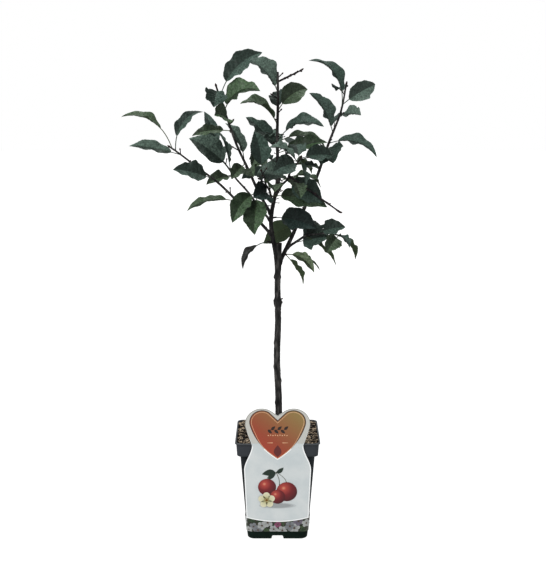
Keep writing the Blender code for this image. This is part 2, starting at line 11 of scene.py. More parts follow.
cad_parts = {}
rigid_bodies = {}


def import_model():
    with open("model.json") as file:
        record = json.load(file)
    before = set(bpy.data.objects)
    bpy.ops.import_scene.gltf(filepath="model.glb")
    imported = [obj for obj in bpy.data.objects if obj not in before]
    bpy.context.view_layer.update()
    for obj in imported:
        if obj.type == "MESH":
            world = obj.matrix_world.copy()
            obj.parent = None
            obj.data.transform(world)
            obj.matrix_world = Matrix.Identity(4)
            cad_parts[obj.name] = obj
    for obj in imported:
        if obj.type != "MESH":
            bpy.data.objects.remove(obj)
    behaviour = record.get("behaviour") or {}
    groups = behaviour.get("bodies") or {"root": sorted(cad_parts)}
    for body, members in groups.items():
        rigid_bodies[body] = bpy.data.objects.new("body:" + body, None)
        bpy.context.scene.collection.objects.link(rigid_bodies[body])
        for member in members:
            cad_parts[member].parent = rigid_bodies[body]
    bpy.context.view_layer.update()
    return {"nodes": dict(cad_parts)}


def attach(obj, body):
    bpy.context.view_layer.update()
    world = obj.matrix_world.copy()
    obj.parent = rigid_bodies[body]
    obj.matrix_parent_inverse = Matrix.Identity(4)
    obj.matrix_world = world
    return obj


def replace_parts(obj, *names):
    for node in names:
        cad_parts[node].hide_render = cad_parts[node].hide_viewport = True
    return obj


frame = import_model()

gap = 0.0003  # left between neighbouring pieces
print("frame loaded:", len(frame["nodes"]), "nodes")


# Joined meshes: points and faces are heaped up, then made into one piece

class Heap:
    def __init__(self):
        self.points = []
        self.faces = []

    def addFace(self, face, flip):
        self.faces.append(face[::-1] if flip else face)

    def addGrid(self, rows, closed=False, flip=False):
        start = len(self.points)
        width = len(rows[0])
        for row in rows:
            self.points.extend(row)
        for r in range(len(rows) - 1):
            low = start + r * width
            for c in range(width if closed else width - 1):
                d = (c + 1) % width
                self.addFace((low + c, low + d, low + width + d, low + width + c), flip)

    def addFan(self, ring, hub, flip=False):
        start = len(self.points)
        self.points.extend(ring)
        self.points.append(hub)
        for i in range(len(ring)):
            self.addFace((start + i, start + (i + 1) % len(ring), start + len(ring)), flip)

    def addBlock(self, corners):  # eight corners, the lower four first
        start = len(self.points)
        self.points.extend(corners)
        for face in ((3, 2, 1, 0), (4, 5, 6, 7), (0, 1, 5, 4), (1, 2, 6, 5), (2, 3, 7, 6), (3, 0, 4, 7)):
            self.faces.append(tuple(start + i for i in face))

    def piece(self, name, material, slotName, smooth=True):
        mesh = bpy.data.meshes.new(name)
        mesh.from_pydata(self.points, [], self.faces)
        mesh.materials.append(material)
        if smooth:
            mesh.shade_smooth()
        thing = addObject(name, mesh)
        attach(thing, "root")
        return thing


def addObject(name, data):
    thing = bpy.data.objects.new(name, data)
    bpy.context.scene.collection.objects.link(thing)
    return thing


def solidFromRings(name, rings):  # closed at both ends
    bm = bmesh.new()
    loops = [[bm.verts.new(point) for point in ring] for ring in rings]
    for low, high in zip(loops, loops[1:]):
        for i in range(len(low)):
            j = (i + 1) % len(low)
            bm.faces.new((low[i], low[j], high[j], high[i]))
    bm.faces.new(loops[0])
    bm.faces.new(loops[-1])
    bmesh.ops.recalc_face_normals(bm, faces=bm.faces)
    mesh = bpy.data.meshes.new(name)
    bm.to_mesh(mesh)
    bm.free()
    return addObject(name, mesh)


def circle(x, z, radius, count, squash=1.0):  # flat measures, for rings and for things set in a ring
    turns = (math.tau * i / count for i in range(count))
    return [(x + radius * math.cos(turn), z + radius * squash * math.sin(turn)) for turn in turns]


def ringAt(centre, side, other, radius, count):
    return [centre + (side * math.cos(turn) + other * math.sin(turn)) * radius
            for turn in (math.tau * i / count for i in range(count))]


def mix(start, end, share):
    return start + (end - start) * share


# Finishes

even = (1.0, 1.0, 1.0)


def setSockets(material, node, **values):  # another node's output is linked, any other value is set
    for name, value in values.items():
        socket = node.inputs[name.replace("_", " ")]
        if isinstance(value, bpy.types.NodeSocket):
            material.node_tree.links.new(value, socket)
        else:
            socket.default_value = value


def addNode(material, kind, **values):
    node = material.node_tree.nodes.new("ShaderNode" + kind)
    setSockets(material, node, **values)
    return node


def noiseOn(material, scale, detail, stretch=even):
    spot = addNode(material, "TexCoord")
    mapping = addNode(material, "Mapping", Vector=spot.outputs["Object"], Scale=stretch)
    texture = addNode(material, "TexNoise", Vector=mapping.outputs["Vector"], Scale=scale, Detail=detail)
    return texture.outputs["Fac"]


def shadeOn(material, operation, point, low, high):
    # the dot product with point, or the distance from it, as it goes from low to high
    spot = addNode(material, "TexCoord")
    measure = addNode(material, "VectorMath", Vector=spot.outputs["Object"])
    measure.operation = operation
    measure.inputs[1].default_value = point
    spread = addNode(material, "MapRange", Value=measure.outputs["Value"], From_Min=low, From_Max=high)
    return spread.outputs["Result"]


def rampOn(material, source, stops):
    ramp = addNode(material, "ValToRGB", Fac=source)
    while len(ramp.color_ramp.elements) < len(stops):
        ramp.color_ramp.elements.new(0.5)
    for element, (position, colour) in zip(ramp.color_ramp.elements, stops):
        element.position = position
        element.color = (*colour, 1.0)
    return ramp.outputs["Color"]


def finish(name, colour, roughness=0.5, specular=0.5, mottled=None, embossed=None, shaded=None,
           stretch=even, **sockets):
    # mottled: scale, detail, stops; shaded: what shadeOn measures, stops; embossed: scale, detail,
    # strength, depth
    material = bpy.data.materials.new(name)
    material.use_nodes = True
    shader = material.node_tree.nodes["Principled BSDF"]
    setSockets(material, shader, Base_Color=(*colour, 1.0), Roughness=roughness,
               Specular_IOR_Level=specular, **sockets)
    if mottled:
        scale, detail, stops = mottled
        tones = rampOn(material, noiseOn(material, scale, detail, stretch), stops)
        setSockets(material, shader, Base_Color=tones)
    if shaded:
        *measured, stops = shaded
        setSockets(material, shader, Base_Color=rampOn(material, shadeOn(material, *measured), stops))
    if embossed:
        scale, detail, strength, depth = embossed
        relief = addNode(material, "Bump", Height=noiseOn(material, scale, detail), Strength=strength,
                         Distance=depth)
        setSockets(material, shader, Normal=relief.outputs["Normal"])
    return material


def tonesOf(colour, shares):  # ramp stops in darker and lighter tones of one colour
    return [(at, [min(1.0, channel * share) for channel in colour]) for at, share in shares]


# Stems: the same rule as the source, told by heading, rise, length and bow

waver = {"reach": 0.0014, "turns": 2.3}


def directions(heading, rise):
    h = math.radians(heading)
    e = math.radians(rise)
    along = Vector((math.cos(e) * math.cos(h), math.cos(e) * math.sin(h), math.sin(e)))
    lifted = Vector((-math.sin(e) * math.cos(h), -math.sin(e) * math.sin(h), math.cos(e)))
    right = Vector((math.sin(h), -math.cos(h), 0.0))
    return along, lifted, right


def bump(at, centre, spread):
    return math.exp(-((at - centre) / spread) ** 2)


class Stem:
    def __init__(self, foot, heading, rise, length, thick, lift=0.0, kink=None, swellings=(),
                 enters=1.0, level=False, seed=None):
        self.foot = foot
        self.length = length
        self.thick = thick  # at the foot and at the tip
        self.lift = lift
        self.kink = kink
        self.swellings = swellings
        self.enters = enters  # the share of its length at which it enters its leaves
        self.level = level
        self.along, self.lifted, self.right = directions(heading, rise)
        chance = random.Random(seed)
        self.phases = (chance.random(), chance.random())
        self.waver = waver["reach"] if seed is not None else 0.0

    def point(self, share):
        lift = self.lift * self.length * 4.0 * share * (1.0 - share)
        if self.kink:
            centre, spread, offset = self.kink
            lift += offset * bump(share, centre, spread)
        calm = self.waver * math.sin(math.pi * min(max(share, 0.0), 1.0))
        lift += calm * math.sin(math.tau * (waver["turns"] * share + self.phases[0]))
        swing = calm * math.sin(math.tau * (waver["turns"] * share + self.phases[1]))
        return self.foot + self.along * self.length * share + self.lifted * lift + self.right * swing

    def headingAt(self, share):
        return (self.point(share + 0.004) - self.point(share - 0.004)).normalized()

    def radius(self, share):
        extra = sum(growth * bump(share, at, spread) for at, spread, growth in self.swellings)
        return mix(*self.thick, share) / 2.0 + extra

    def frameAt(self, share):
        along = Vector((0.0, 0.0, 1.0)) if self.level else self.headingAt(share)
        across = along.cross(Vector((0.0, 1.0, 0.0))).normalized()
        return along, across, across.cross(along).normalized()

    def around(self, share, turn):  # the way out from its middle at a turn round it
        along, across, upward = self.frameAt(share)
        return across * math.cos(turn) + upward * math.sin(turn)


# Trunk and boughs: each leaves its parent at a share of the parent's length

trunkFoot = Vector((0.0045, 0.0, 0.2188))
boughs = {
    "trunk": dict(heading=180, rise=89.8, length=0.4345, lift=-0.009, thick=(0.0152, 0.0124), level=True,
                  swellings=((0.0, 0.045, 0.0030), (0.10, 0.02, 0.0006), (0.695, 0.018, 0.0020),
                             (0.905, 0.035, 0.0012))),
    "leader": dict(parent="trunk", share=0.82, heading=180, rise=90, length=0.444,
                   thick=(0.0105, 0.0044), kink=(0.28, 0.15, -0.0135), enters=0.60),
    "bough_left_low": dict(parent="leader", share=0.212, heading=193, rise=41, length=0.297,
                           lift=0.03, thick=(0.0065, 0.0032), enters=0.30),
    "bough_left_mid": dict(parent="leader", share=0.282, heading=142, rise=43, length=0.219,
                           thick=(0.0052, 0.0030), enters=0.56),
    "bough_left_high": dict(parent="leader", share=0.315, heading=227, rise=59, length=0.319,
                            lift=-0.035, thick=(0.0066, 0.0034), enters=0.30),
    "bough_right_mid": dict(parent="leader", share=0.405, heading=294, rise=34, length=0.158,
                            thick=(0.0052, 0.0030), enters=0.38),
    "bough_right_high": dict(parent="trunk", share=0.89, heading=38, rise=64, length=0.445, lift=-0.035,
                             kink=(0.85, 0.12, -0.007), thick=(0.0092, 0.0034), enters=0.49),
    "bough_right_spread": dict(parent="bough_right_high", share=0.085, heading=322, rise=15,
                               length=0.153, lift=0.12, thick=(0.0056, 0.0030), enters=0.12),
    "bough_front": dict(parent="leader", share=0.374, heading=260, rise=28, length=0.161,
                        thick=(0.0054, 0.0030), enters=0.20),
    "bough_back": dict(parent="leader", share=0.35, heading=77, rise=37, length=0.205,
                       lift=0.03, thick=(0.0056, 0.0030), enters=0.30),
}
bark = {
    "pitch": 0.0012, "trunkSides": 26, "thickSides": 18, "thinSides": 13, "twigSides": 10, "spurSides": 7,
    "thickFrom": 0.008,  # boughs thicker than this at the foot have more sides
    "slimRadius": 0.004,  # below it the relief fades
    "tip": 0.35,
    # relief: its height, and how fine it is across and along the tree
    "lumps": (0.00035, 260, 117), "ridges": (0.00022, 900, 190), "scars": (0.0011, 190, 720),
    "scarFrom": 0.32,  # only the highest noise makes scars
    # and how much of it each kind of stem has
    "onBoughs": 0.8, "onTwigs": 0.5, "onSpurs": 0.6, "onBare": 0.9,
    "collar": (0.55, 0.004, 0.007),  # where a bough leaves its parent: growth, place, spread
    "graft": (2.2, 0.675, 0.045),  # rougher here: growth, share of the trunk, spread
    # knots on the trunk: share of its length, heading, height of the bump, spread
    "knots": ((0.175, 190, 0.0016, 0.0045), (0.290, 350, 0.0014, 0.0045), (0.365, 185, 0.0013, 0.0045),
              (0.490, 175, 0.0014, 0.0045), (0.700, 350, 0.0024, 0.0040), (0.710, 175, 0.0014, 0.0050)),
    "stub": dict(share=0.705, shift=(0.0055, -0.002, 0.0), heading=340, rise=42, length=0.0085,
                 thick=(0.0042, 0.0022), lift=0.22),
    # rings over the old cut at the top of the trunk: share of its radius, height
    "cut": ((1.02, -0.0012), (1.03, 0.0), (0.90, 0.0007), (0.66, 0.0001), (0.60, -0.0002), (0.34, 0.0),
            (0.06, 0.0001)),
    "cutSides": 28, "cutUneven": (0.0005, 3, 9),  # height, and how quick it is round and across the cut
}
barkSkins = {
    "tree_bark": dict(
        colour=(0.05, 0.045, 0.042), roughness=0.9, specular=0.08, stretch=(1, 1, 0.30),
        mottled=(150, 8, ((0.30, (0.012, 0.012, 0.012)), (0.50, (0.036, 0.035, 0.035)),
                          (0.70, (0.104, 0.099, 0.095)))),
        embossed=(900, 5, 0.5, 0.0006)),
    "young_bark": dict(
        colour=(0.03, 0.022, 0.022), roughness=0.7, specular=0.12,
        mottled=(140, 5, ((0.3, (0.008, 0.007, 0.009)), (0.7, (0.040, 0.034, 0.036)))),
        embossed=(1200, 5, 0.4, 0.0004)),
    "cut_wood": dict(
        colour=(0.10, 0.085, 0.07), roughness=0.9, specular=0.2,
        mottled=(420, 5, ((0.3, (0.022, 0.019, 0.017)), (0.7, (0.075, 0.062, 0.052)))),
        embossed=(900, 5, 0.6, 0.0006)),
}


def growLimbs():
    limbs = {}
    for seed, (name, spec) in enumerate(boughs.items()):
        shape = dict(spec)
        parent = limbs.get(shape.pop("parent", None))
        foot = parent.point(shape.pop("share")) if parent else trunkFoot
        limbs[name] = Stem(foot, seed=seed, **shape)
    return limbs


def grain(where, across, along):
    return noise.noise(Vector((where.x * across, where.y * across, where.z * along)))


def barkTube(heap, stem, sides, relief, collar=False, knots=(), cap=True):
    count = max(4, int(stem.length / bark["pitch"]))
    lumps, ridges, scars = bark["lumps"], bark["ridges"], bark["scars"]
    rows = []
    for r in range(count + 1):
        share = r / count
        along, across, upward = stem.frameAt(share)
        centre = stem.point(share)
        reach = stem.radius(share)
        if collar:
            growth, at, spread = bark["collar"]
            reach *= 1.0 + growth * bump(share * stem.length, at, spread)
        rough = relief * min(1.0, reach / bark["slimRadius"])
        if knots:
            growth, at, spread = bark["graft"]
            rough *= 1.0 + growth * bump(share, at, spread)
        row = []
        for outward in ringAt(Vector(), across, upward, 1.0, sides):
            out = reach
            for at, heading, height, spread in knots:
                facing = max(0.0, outward.dot(directions(heading, 0)[0]))
                out += height * facing ** 3 * bump(share * stem.length, at * stem.length, spread)
            where = centre + outward * reach
            out += rough * (lumps[0] * grain(where, *lumps[1:]) + ridges[0] * grain(where, *ridges[1:])
                            + scars[0] * max(0.0, grain(where, *scars[1:]) - bark["scarFrom"]))
            row.append(centre + outward * out)
        rows.append(row)
    heap.addGrid(rows, closed=True, flip=True)
    if cap:
        tip = stem.point(1.0) + stem.headingAt(1.0) * stem.radius(1.0) * bark["tip"]
        heap.addFan(rows[-1], tip, flip=True)


def makeTrunk(limbs, barks):
    trunk = limbs["trunk"]
    heap = Heap()
    barkTube(heap, trunk, bark["trunkSides"], 1.0, knots=bark["knots"], cap=False)
    stub = dict(bark["stub"])
    foot = trunk.point(stub.pop("share")) + Vector(stub.pop("shift"))
    barkTube(heap, Stem(foot, **stub), bark["twigSides"], 1.0)
    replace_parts(heap.piece("trunk_bark", barks["tree_bark"], "bark"), "trunk")
    cut = Heap()
    along, side, other = trunk.frameAt(1.0)
    height, around, across = bark["cutUneven"]
    rows = []
    for reach, rise in bark["cut"]:
        row = []
        for outward in ringAt(Vector(), side, other, 1.0, bark["cutSides"]):
            uneven = height * noise.noise(outward * around + Vector((0, 0, reach * across)))
            row.append(trunk.point(1.0) + outward * trunk.radius(1.0) * reach + along * (rise + uneven))
        rows.append(row)
    cut.addGrid(rows, closed=True, flip=True)
    cut.addFan(rows[-1], trunk.point(1.0), flip=True)
    cut.piece("trunk_cut", barks["cut_wood"], "bark")
    print("trunk done:", len(heap.faces), "faces")


def makeBoughs(limbs, barks):
    heap = Heap()
    names = [name for name in limbs if name != "trunk"]
    for name in names:
        stem = limbs[name]
        sides = bark["thickSides"] if stem.thick[0] > bark["thickFrom"] else bark["thinSides"]
        barkTube(heap, stem, sides, bark["onBoughs"], collar=True)
    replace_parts(heap.piece("bough_bark", barks["tree_bark"], "bark"), *names)
    print("boughs done:", len(heap.faces), "faces")


# Foliage: seeded twigs, and leaves as (share, heading, rise, length mm, breadth mm, turn, bow, share
# that is stalk, tint); a bare twig is (share, heading, rise, length mm). A mass with a share of its
# own grows on a short spur of that heading, rise and length

foliage = {
    "foliage_left_low": dict(limb="bough_left_low", seed=3, twigs=3, twigLeaves=0, leaves=(
        (0.97, 197, 34, 127, 28, 30, 0.19, 0.34, "olive"),
        (0.89, 201, 12, 113, 30, 50, 0.02, 0.2, "slate"),
        (0.94, 28, 53, 108, 26, -40, 0.2, 0.25, "teal"),
        (0.6, 207, 15, 94, 42, 65, 0.03, 0.2, "teal"),
        (0.36, 195, -7, 114, 26, 25, 0.11, 0.22, "olive"))),
    "foliage_left_mid": dict(limb="bough_left_mid", seed=5, twigs=3, twigLeaves=0, leaves=(
        (0.64, 220, -9, 78, 32, 35, 0.05, 0.2, "olive"),
        (0.75, 200, 38, 112, 58, 70, 0.05, 0.18, "slate"),
        (0.95, 149, 69, 104, 26, 55, 0.08, 0.2, "teal"),
        (0.72, 219, 72, 92, 30, 45, 0.05, 0.2, "slate"),
        (0.85, 95, 20, 88, 42, 0, 0.1, 0.25, "deep"))),
    "foliage_left_high": dict(limb="bough_left_high", seed=7, twigs=4, twigLeaves=1, leaves=(
        (0.73, 248, 16, 67, 48, 60, 0.1, 0.27, "moss"),
        (0.68, 198, -5, 84, 26, 45, 0.06, 0.2, "olive"),
        (0.91, 19, 46, 132, 42, -50, 0.13, 0.25, "teal"),
        (0.82, 336, 28, 90, 46, -60, 0.22, 0.12, "moss"),
        (0.965, 265, -36, 58, 46, 20, 0.08, 0.18, "deep"),
        (0.45, 162, 64, 91, 28, 30, 0.1, 0.2, "slate"),
        (0.43, 227, -36, 51, 28, 50, 0.05, 0.2, "olive"),
        (0.37, 55, 25, 68, 36, -40, 0.08, 0.2, "olive"),
        (0.35, 343, -4, 76, 44, -55, 0.04, 0.2, "slate"))),
    "foliage_top": dict(limb="leader", seed=11, twigs=5, twigLeaves=1, bare=((0.955, 21, 25, 61),), leaves=(
        (0.9, 205, 45, 99, 52, 55, 0.12, 0.16, "slate"),
        (0.63, 163, 46, 101, 38, 40, 0.04, 0.12, "teal"),
        (0.75, 207, 29, 100, 44, 30, 0.18, 0.14, "olive"),
        (0.815, 28, 34, 90, 44, -70, 0.12, 0.2, "olive"),
        (0.8, 88, 45, 78, 34, 20, 0.08, 0.25, "teal"),
        (0.67, 343, 19, 109, 36, -35, 0.2, 0.24, "teal"),
        (0.665, 20, -5, 119, 28, -30, 0.18, 0.22, "olive"),
        (0.615, 344, 14, 112, 36, -60, 0.02, 0.2, "moss"))),
    "foliage_right_mid": dict(limb="bough_right_mid", seed=13, twigs=3, twigLeaves=1,
                              bare=((0.55, 339, -33, 136),), leaves=(
        (0.96, 20, 5, 74, 36, -60, 0.06, 0.18, "deep"),
        (0.94, 97, 28, 68, 36, 0, 0.06, 0.2, "teal"),
        (0.87, 209, 28, 74, 32, 40, 0.12, 0.15, "slate"),
        (0.85, 228, -12, 74, 42, 55, 0.06, 0.12, "teal"),
        (0.45, 330, -28, 95, 50, -65, 0.04, 0.15, "deep"),
        (0.5, 22, -15, 83, 26, -20, 0.18, 0.2, "olive"),
        (0.96, 291, -59, 62, 28, 60, 0.05, 0.2, "teal"))),
    "foliage_right_high": dict(limb="bough_right_high", seed=17, twigs=4, twigLeaves=0, leaves=(
        (0.86, 164, 57, 138, 38, 25, 0.22, 0.26, "deep"),
        (0.885, 30, 27, 104, 44, -70, 0.04, 0.2, "slate"),
        (0.73, 210, 57, 106, 46, 65, 0.08, 0.14, "teal"),
        (0.83, 317, 2, 60, 38, -40, 0.05, 0.18, "slate"),
        (0.67, 344, -13, 115, 32, -35, 0.16, 0.17, "teal"),
        (0.65, 278, -26, 71, 56, -10, 0.06, 0.14, "deep"),
        (0.62, 257, -22, 61, 34, 30, 0.05, 0.2, "teal"),
        (0.53, 235, 8, 62, 26, 30, 0.06, 0.2, "deep"),
        (0.76, 92, 12, 88, 42, 0, 0.12, 0.25, "teal"),
        (0.93, 100, 12, 84, 36, 0, 0.1, 0.25, "teal"),
        (0.6, 75, 5, 92, 44, 0, 0.12, 0.25, "deep"))),
    "foliage_right_spread": dict(limb="bough_right_spread", seed=19, twigs=2, twigLeaves=0, leaves=(
        (0.17, 330, 13, 88, 54, -70, 0.02, 0.27, "teal"),
        (0.58, 332, 16, 70, 36, -60, 0.05, 0.27, "teal"),
        (0.96, 237, -32, 56, 36, 50, 0.05, 0.2, "olive"),
        (0.97, 29, -50, 68, 22, 10, 0.1, 0.2, "olive"),
        (0.93, 296, -19, 59, 22, 10, 0.1, 0.2, "deep"),
        (0.4, 348, -40, 92, 26, 30, 0.06, 0.2, "olive"),
        (0.6, 80, 5, 84, 42, 0, 0.12, 0.25, "deep"))),
    "foliage_front": dict(limb="bough_front", seed=23, twigs=4, twigLeaves=2, leaves=(
        (0.32, 246, -2, 78, 52, 60, 0.04, 0.25, "navy"),
        (0.24, 345, -9, 124, 44, -60, 0.06, 0.18, "moss"),
        (0.97, 180, 80, 82, 40, 80, 0.05, 0.18, "deep"))),
    "foliage_back": dict(limb="bough_back", seed=29, twigs=7, twigLeaves=6, leaves=(
        (0.97, 70, 12, 95, 44, 15, 0.12, 0.25, "teal"),
        (0.6, 120, 5, 90, 42, 20, 0.1, 0.25, "slate"))),
    "foliage_low_right": dict(
        limb="bough_right_high", share=0.055, heading=287, rise=12, length=0.021, leaves=(
        (0.9, 322, -22, 84, 24, -30, 0.14, 0.2, "pale"),
        (0.7, 345, -20, 86, 18, 0, 0.12, 0.2, "olive"),
        (0.8, 348, -56, 78, 24, 40, 0.06, 0.2, "moss"))),
    "foliage_low_left": dict(
        limb="leader", share=0.178, heading=200, rise=14, length=0.016, leaves=(
        (0.8, 207, -41, 86, 20, 20, 0.18, 0.3, "plum"),)),
    "foliage_left_hanging": dict(
        limb="bough_left_high", share=0.17, heading=247, rise=25, length=0.024, leaves=(
        (0.9, 221, -42, 90, 40, 35, 0.12, 0.18, "moss"),
        (0.75, 262, -58, 98, 50, 0, 0.06, 0.2, "moss"))),
    "foliage_behind": dict(
        limb="bough_right_high", share=0.235, heading=109, rise=-10, length=0.016, leaves=(
        (0.85, 144, -30, 100, 48, -70, 0.04, 0.18, "olive"),)),
    "foliage_right_centre": dict(
        limb="leader", share=0.3, heading=317, rise=10, length=0.015, leaves=(
        (0.85, 342, -12, 94, 50, -65, 0.05, 0.15, "navy"),)),
}
twig = {"thick": (0.0024, 0.0018), "spurThick": (0.0040, 0.0030), "length": (0.010, 0.020),
        "spread": (44, 60), "goldenAngle": 137.5, "leafAt": 0.85, "leafStalk": 0.25,
        "leafLength": (0.072, 0.092),
        "leafBreadth": (0.034, 0.044), "leafSwing": (-20, 20), "leafRise": (-30, 15), "leafTurn": (-40, 40),
        "leafBow": (0.06, 0.18), "leafTints": ("deep", "teal", "olive", "slate"),
        "near": 0.003,  # what lies this close to the solid has grown there
        "bareThick": (0.0042, 0.0028), "bareBuds": [0.35 + 0.14 * k for k in range(5)],
        "bareSwellings": [(0.3 + 0.22 * k, 0.035, 0.0007) for k in range(4)]}
leaf = {"thick": 0.0006, "fold": 0.55, "foldSpread": (0.7, 1.25), "twist": 0.42, "tipCurl": (0.36, 0.62),
        "rounding": 0.8, "leastHalf": 0.0004, "pointed": (0.24, 0.66), "sharpness": 1.5, "edgeHalf": 0.004,
        "teeth": 14, "toothSteps": 5, "toothDepth": 0.0016, "toothHalf": 0.010,
        "flutter": 0.075, "ruffle": 0.0056, "waveHalf": 0.017, "slow": (1.4, 2.4), "quick": (2.8, 4.4),
        "quilting": 0.0012, "quiltHalf": 0.008, "veinPairs": 8, "veinSlant": 0.20,
        "ribThick": 0.0010, "ribSides": 6, "stalkSteps": 11, "ribSteps": 19, "ribSink": 0.0002,
        "ribTo": 0.96, "veinTo": 0.97, "stalkSwell": (1.4, 0.9),  # at its foot and after it
        "veinThick": 0.00030, "veinSides": 4, "veinStops": (0.0, 0.2, 0.4, 0.6, 0.8, 0.93),
        "columns": (-1.0, -0.90, -0.70, -0.46, -0.22, 0.0, 0.22, 0.46, 0.70, 0.90, 1.0),
        # sun points towards the key lamp; halves scales each tint into a painted-light copy and a
        # painted-shade copy, one for each half of the fold
        "sun": Vector((-0.45, -0.70, 0.55)), "halves": {"light": 1.07, "shade": 0.50}}
# colour of the upper side, and whether the underside and ribs are warm or cool
tints = {
    "olive": ((0.072, 0.103, 0.065), "warm"), "slate": ((0.094, 0.130, 0.109), "cool"),
    "teal": ((0.060, 0.090, 0.075), "cool"), "deep": ((0.042, 0.068, 0.055), "cool"),
    "navy": ((0.034, 0.055, 0.050), "cool"), "moss": ((0.066, 0.104, 0.060), "warm"),
    "pale": ((0.104, 0.136, 0.082), "warm"), "plum": ((0.034, 0.035, 0.033), "cool"),
}
undersides = {"warm": (0.050, 0.070, 0.040), "cool": (0.042, 0.060, 0.050)}
ribTones = {"warm": (0.062, 0.080, 0.040), "cool": (0.050, 0.070, 0.055)}
leafSkins = {
    "upper": dict(roughness=0.42, specular=0.20, embossed=(420, 6, 0.4, 0.0007)),
    "under": dict(roughness=0.72, specular=0.10, embossed=(700, 6, 0.4, 0.0005)),
    "rib": dict(roughness=0.55, specular=0.12, embossed=(900, 5, 0.2, 0.0003)),
    "mottle": (260, 6), "shares": ((0.33, 0.60), (0.50, 0.92), (0.68, 1.36)),
}
bud = {"profile": ((0.0, 0.55), (0.18, 0.95), (0.42, 1.0), (0.68, 0.72), (0.88, 0.34), (1.0, 0.06)),
       "slim": 0.30, "sides": 8, "pitch": 0.026, "sunk": 0.8,
       "atLeaf": 0.0042, "onTwig": 0.0055, "onTip": 0.0075, "onBare": 0.0048, "bareTip": 0.0065,
       "onSpur": 0.0036, "onBough": (0.0028, 0.0046),
       "skin": dict(colour=(0.030, 0.018, 0.017), roughness=0.6, specular=0.12,
                    mottled=(500, 4, ((0.3, (0.014, 0.009, 0.009)), (0.7, (0.052, 0.031, 0.027)))))}


def wave(v, slow, quick, phases, share):
    return (share * math.sin(math.tau * slow * v + phases[0])
            + (1.0 - share) * math.sin(math.tau * quick * v + phases[1]))


class Blade:
    def __init__(self, node, row, seed):
        heading, rise, self.length, self.breadth, turn, lift, self.stalk, self.tint = row
        chance = random.Random(seed)
        self.stem = Stem(node, heading, rise, self.length, (0.0, 0.0), lift=lift)
        self.turn = math.radians(turn)
        self.twist = chance.uniform(-leaf["twist"], leaf["twist"])
        self.fold = leaf["fold"] * chance.uniform(*leaf["foldSpread"])
        self.waves = [[(chance.uniform(*leaf[pace]), chance.uniform(0, math.tau))
                       for pace in ("slow", "quick")] for side in range(2)]
        self.teeth = [chance.uniform(0, 1) for side in range(2)]
        self.lit = self.lay(0.4)[2].dot(leaf["sun"]) < 0.0  # whether the right half is the paler one, with the painted light, while the other half has the painted shade

    def half(self, v):
        rounding = leaf["rounding"]
        full = self.breadth / 2.0 * math.sin(math.pi * v ** rounding) ** rounding if 0 < v < 1 else 0.0
        cut, start = leaf["pointed"]  # the tip is drawn out to a point
        drawn = 1.0 - cut * max(0.0, (v - start) / (1.0 - start)) ** leaf["sharpness"]
        return max(full * drawn, leaf["leastHalf"])

    def lay(self, v):  # middle of the blade and its directions at share v from base to tip
        share = self.stalk + (1.0 - self.stalk) * v
        along = self.stem.headingAt(share)
        normal = self.stem.right.cross(along).normalized()
        tilt = self.turn + self.twist * v * v
        across = self.stem.right * math.cos(tilt) + normal * math.sin(tilt)
        face = normal * math.cos(tilt) - self.stem.right * math.sin(tilt)
        curl, start = leaf["tipCurl"]
        sag = -curl * self.length * max(0.0, v - start) ** 2
        return self.stem.point(share) + face * sag, along, across, face

    def spot(self, v, a):  # a runs from -1 at one edge to 1 at the other
        middle, along, across, face = self.lay(v)
        half = self.half(v)
        (slow, slowPhase), (quick, quickPhase) = self.waves[a > 0]
        swell = wave(v, slow, quick, (quickPhase, slowPhase), 0.45)
        flap = wave(v, slow, quick, (slowPhase, quickPhase), 0.6)
        roomy = min(1.0, half / leaf["waveHalf"])  # narrow blades wave less
        tooth = (v * leaf["teeth"] + self.teeth[a > 0]) % 1.0
        depth = leaf["toothDepth"] * min(1.0, half / leaf["toothHalf"]) * abs(a) ** 8 * (0.75 + 0.35 * swell)
        reach = half * a * (1.0 + leaf["flutter"] * roomy * swell * abs(a))
        reach += math.copysign(depth * (tooth - 0.45), a)
        veins = math.cos(math.tau * leaf["veinPairs"] * (v - leaf["veinSlant"] * abs(a)))
        quilted = leaf["quilting"] * min(1.0, half / leaf["quiltHalf"])
        height = self.fold * (1.0 - 0.30 * v) * half * abs(a) * (0.65 + 0.35 * abs(a))
        height += quilted * veins * 4 * abs(a) * (1 - abs(a))
        height += leaf["ruffle"] * a * a * flap * roomy
        return middle + across * reach + face * height + along * depth * 0.7 * tooth, face


def growLeaf(heaps, node, row, seed):
    blade = Blade(node, row, seed)
    kind = tints[blade.tint][1]
    steps = leaf["teeth"] * leaf["toothSteps"]
    upper = []
    lower = []
    for i in range(steps + 1):
        v = i / steps
        topRow = []
        underRow = []
        for a in leaf["columns"]:
            spot, face = blade.spot(v, a)
            slim = leaf["thick"] / 2.0 * math.sqrt(1.0 - a * a) * min(1.0, blade.half(v) / leaf["edgeHalf"])
            topRow.append(spot + face * slim)
            underRow.append(spot - face * slim)
        upper.append(topRow)
        lower.append(underRow)
    middle = len(leaf["columns"]) // 2
    # the half turned towards the sun gets the tint's painted-light copy, the other half its painted-shade
    # copy
    for half, part in ((blade.lit, slice(middle, None)), (not blade.lit, slice(None, middle + 1))):
        name = blade.tint + ("_light" if half else "_shade")
        heaps[name].addGrid([row[part] for row in upper], flip=True)
    heaps["under_" + kind].addGrid(lower)
    growRibs(heaps["rib_" + kind], blade)


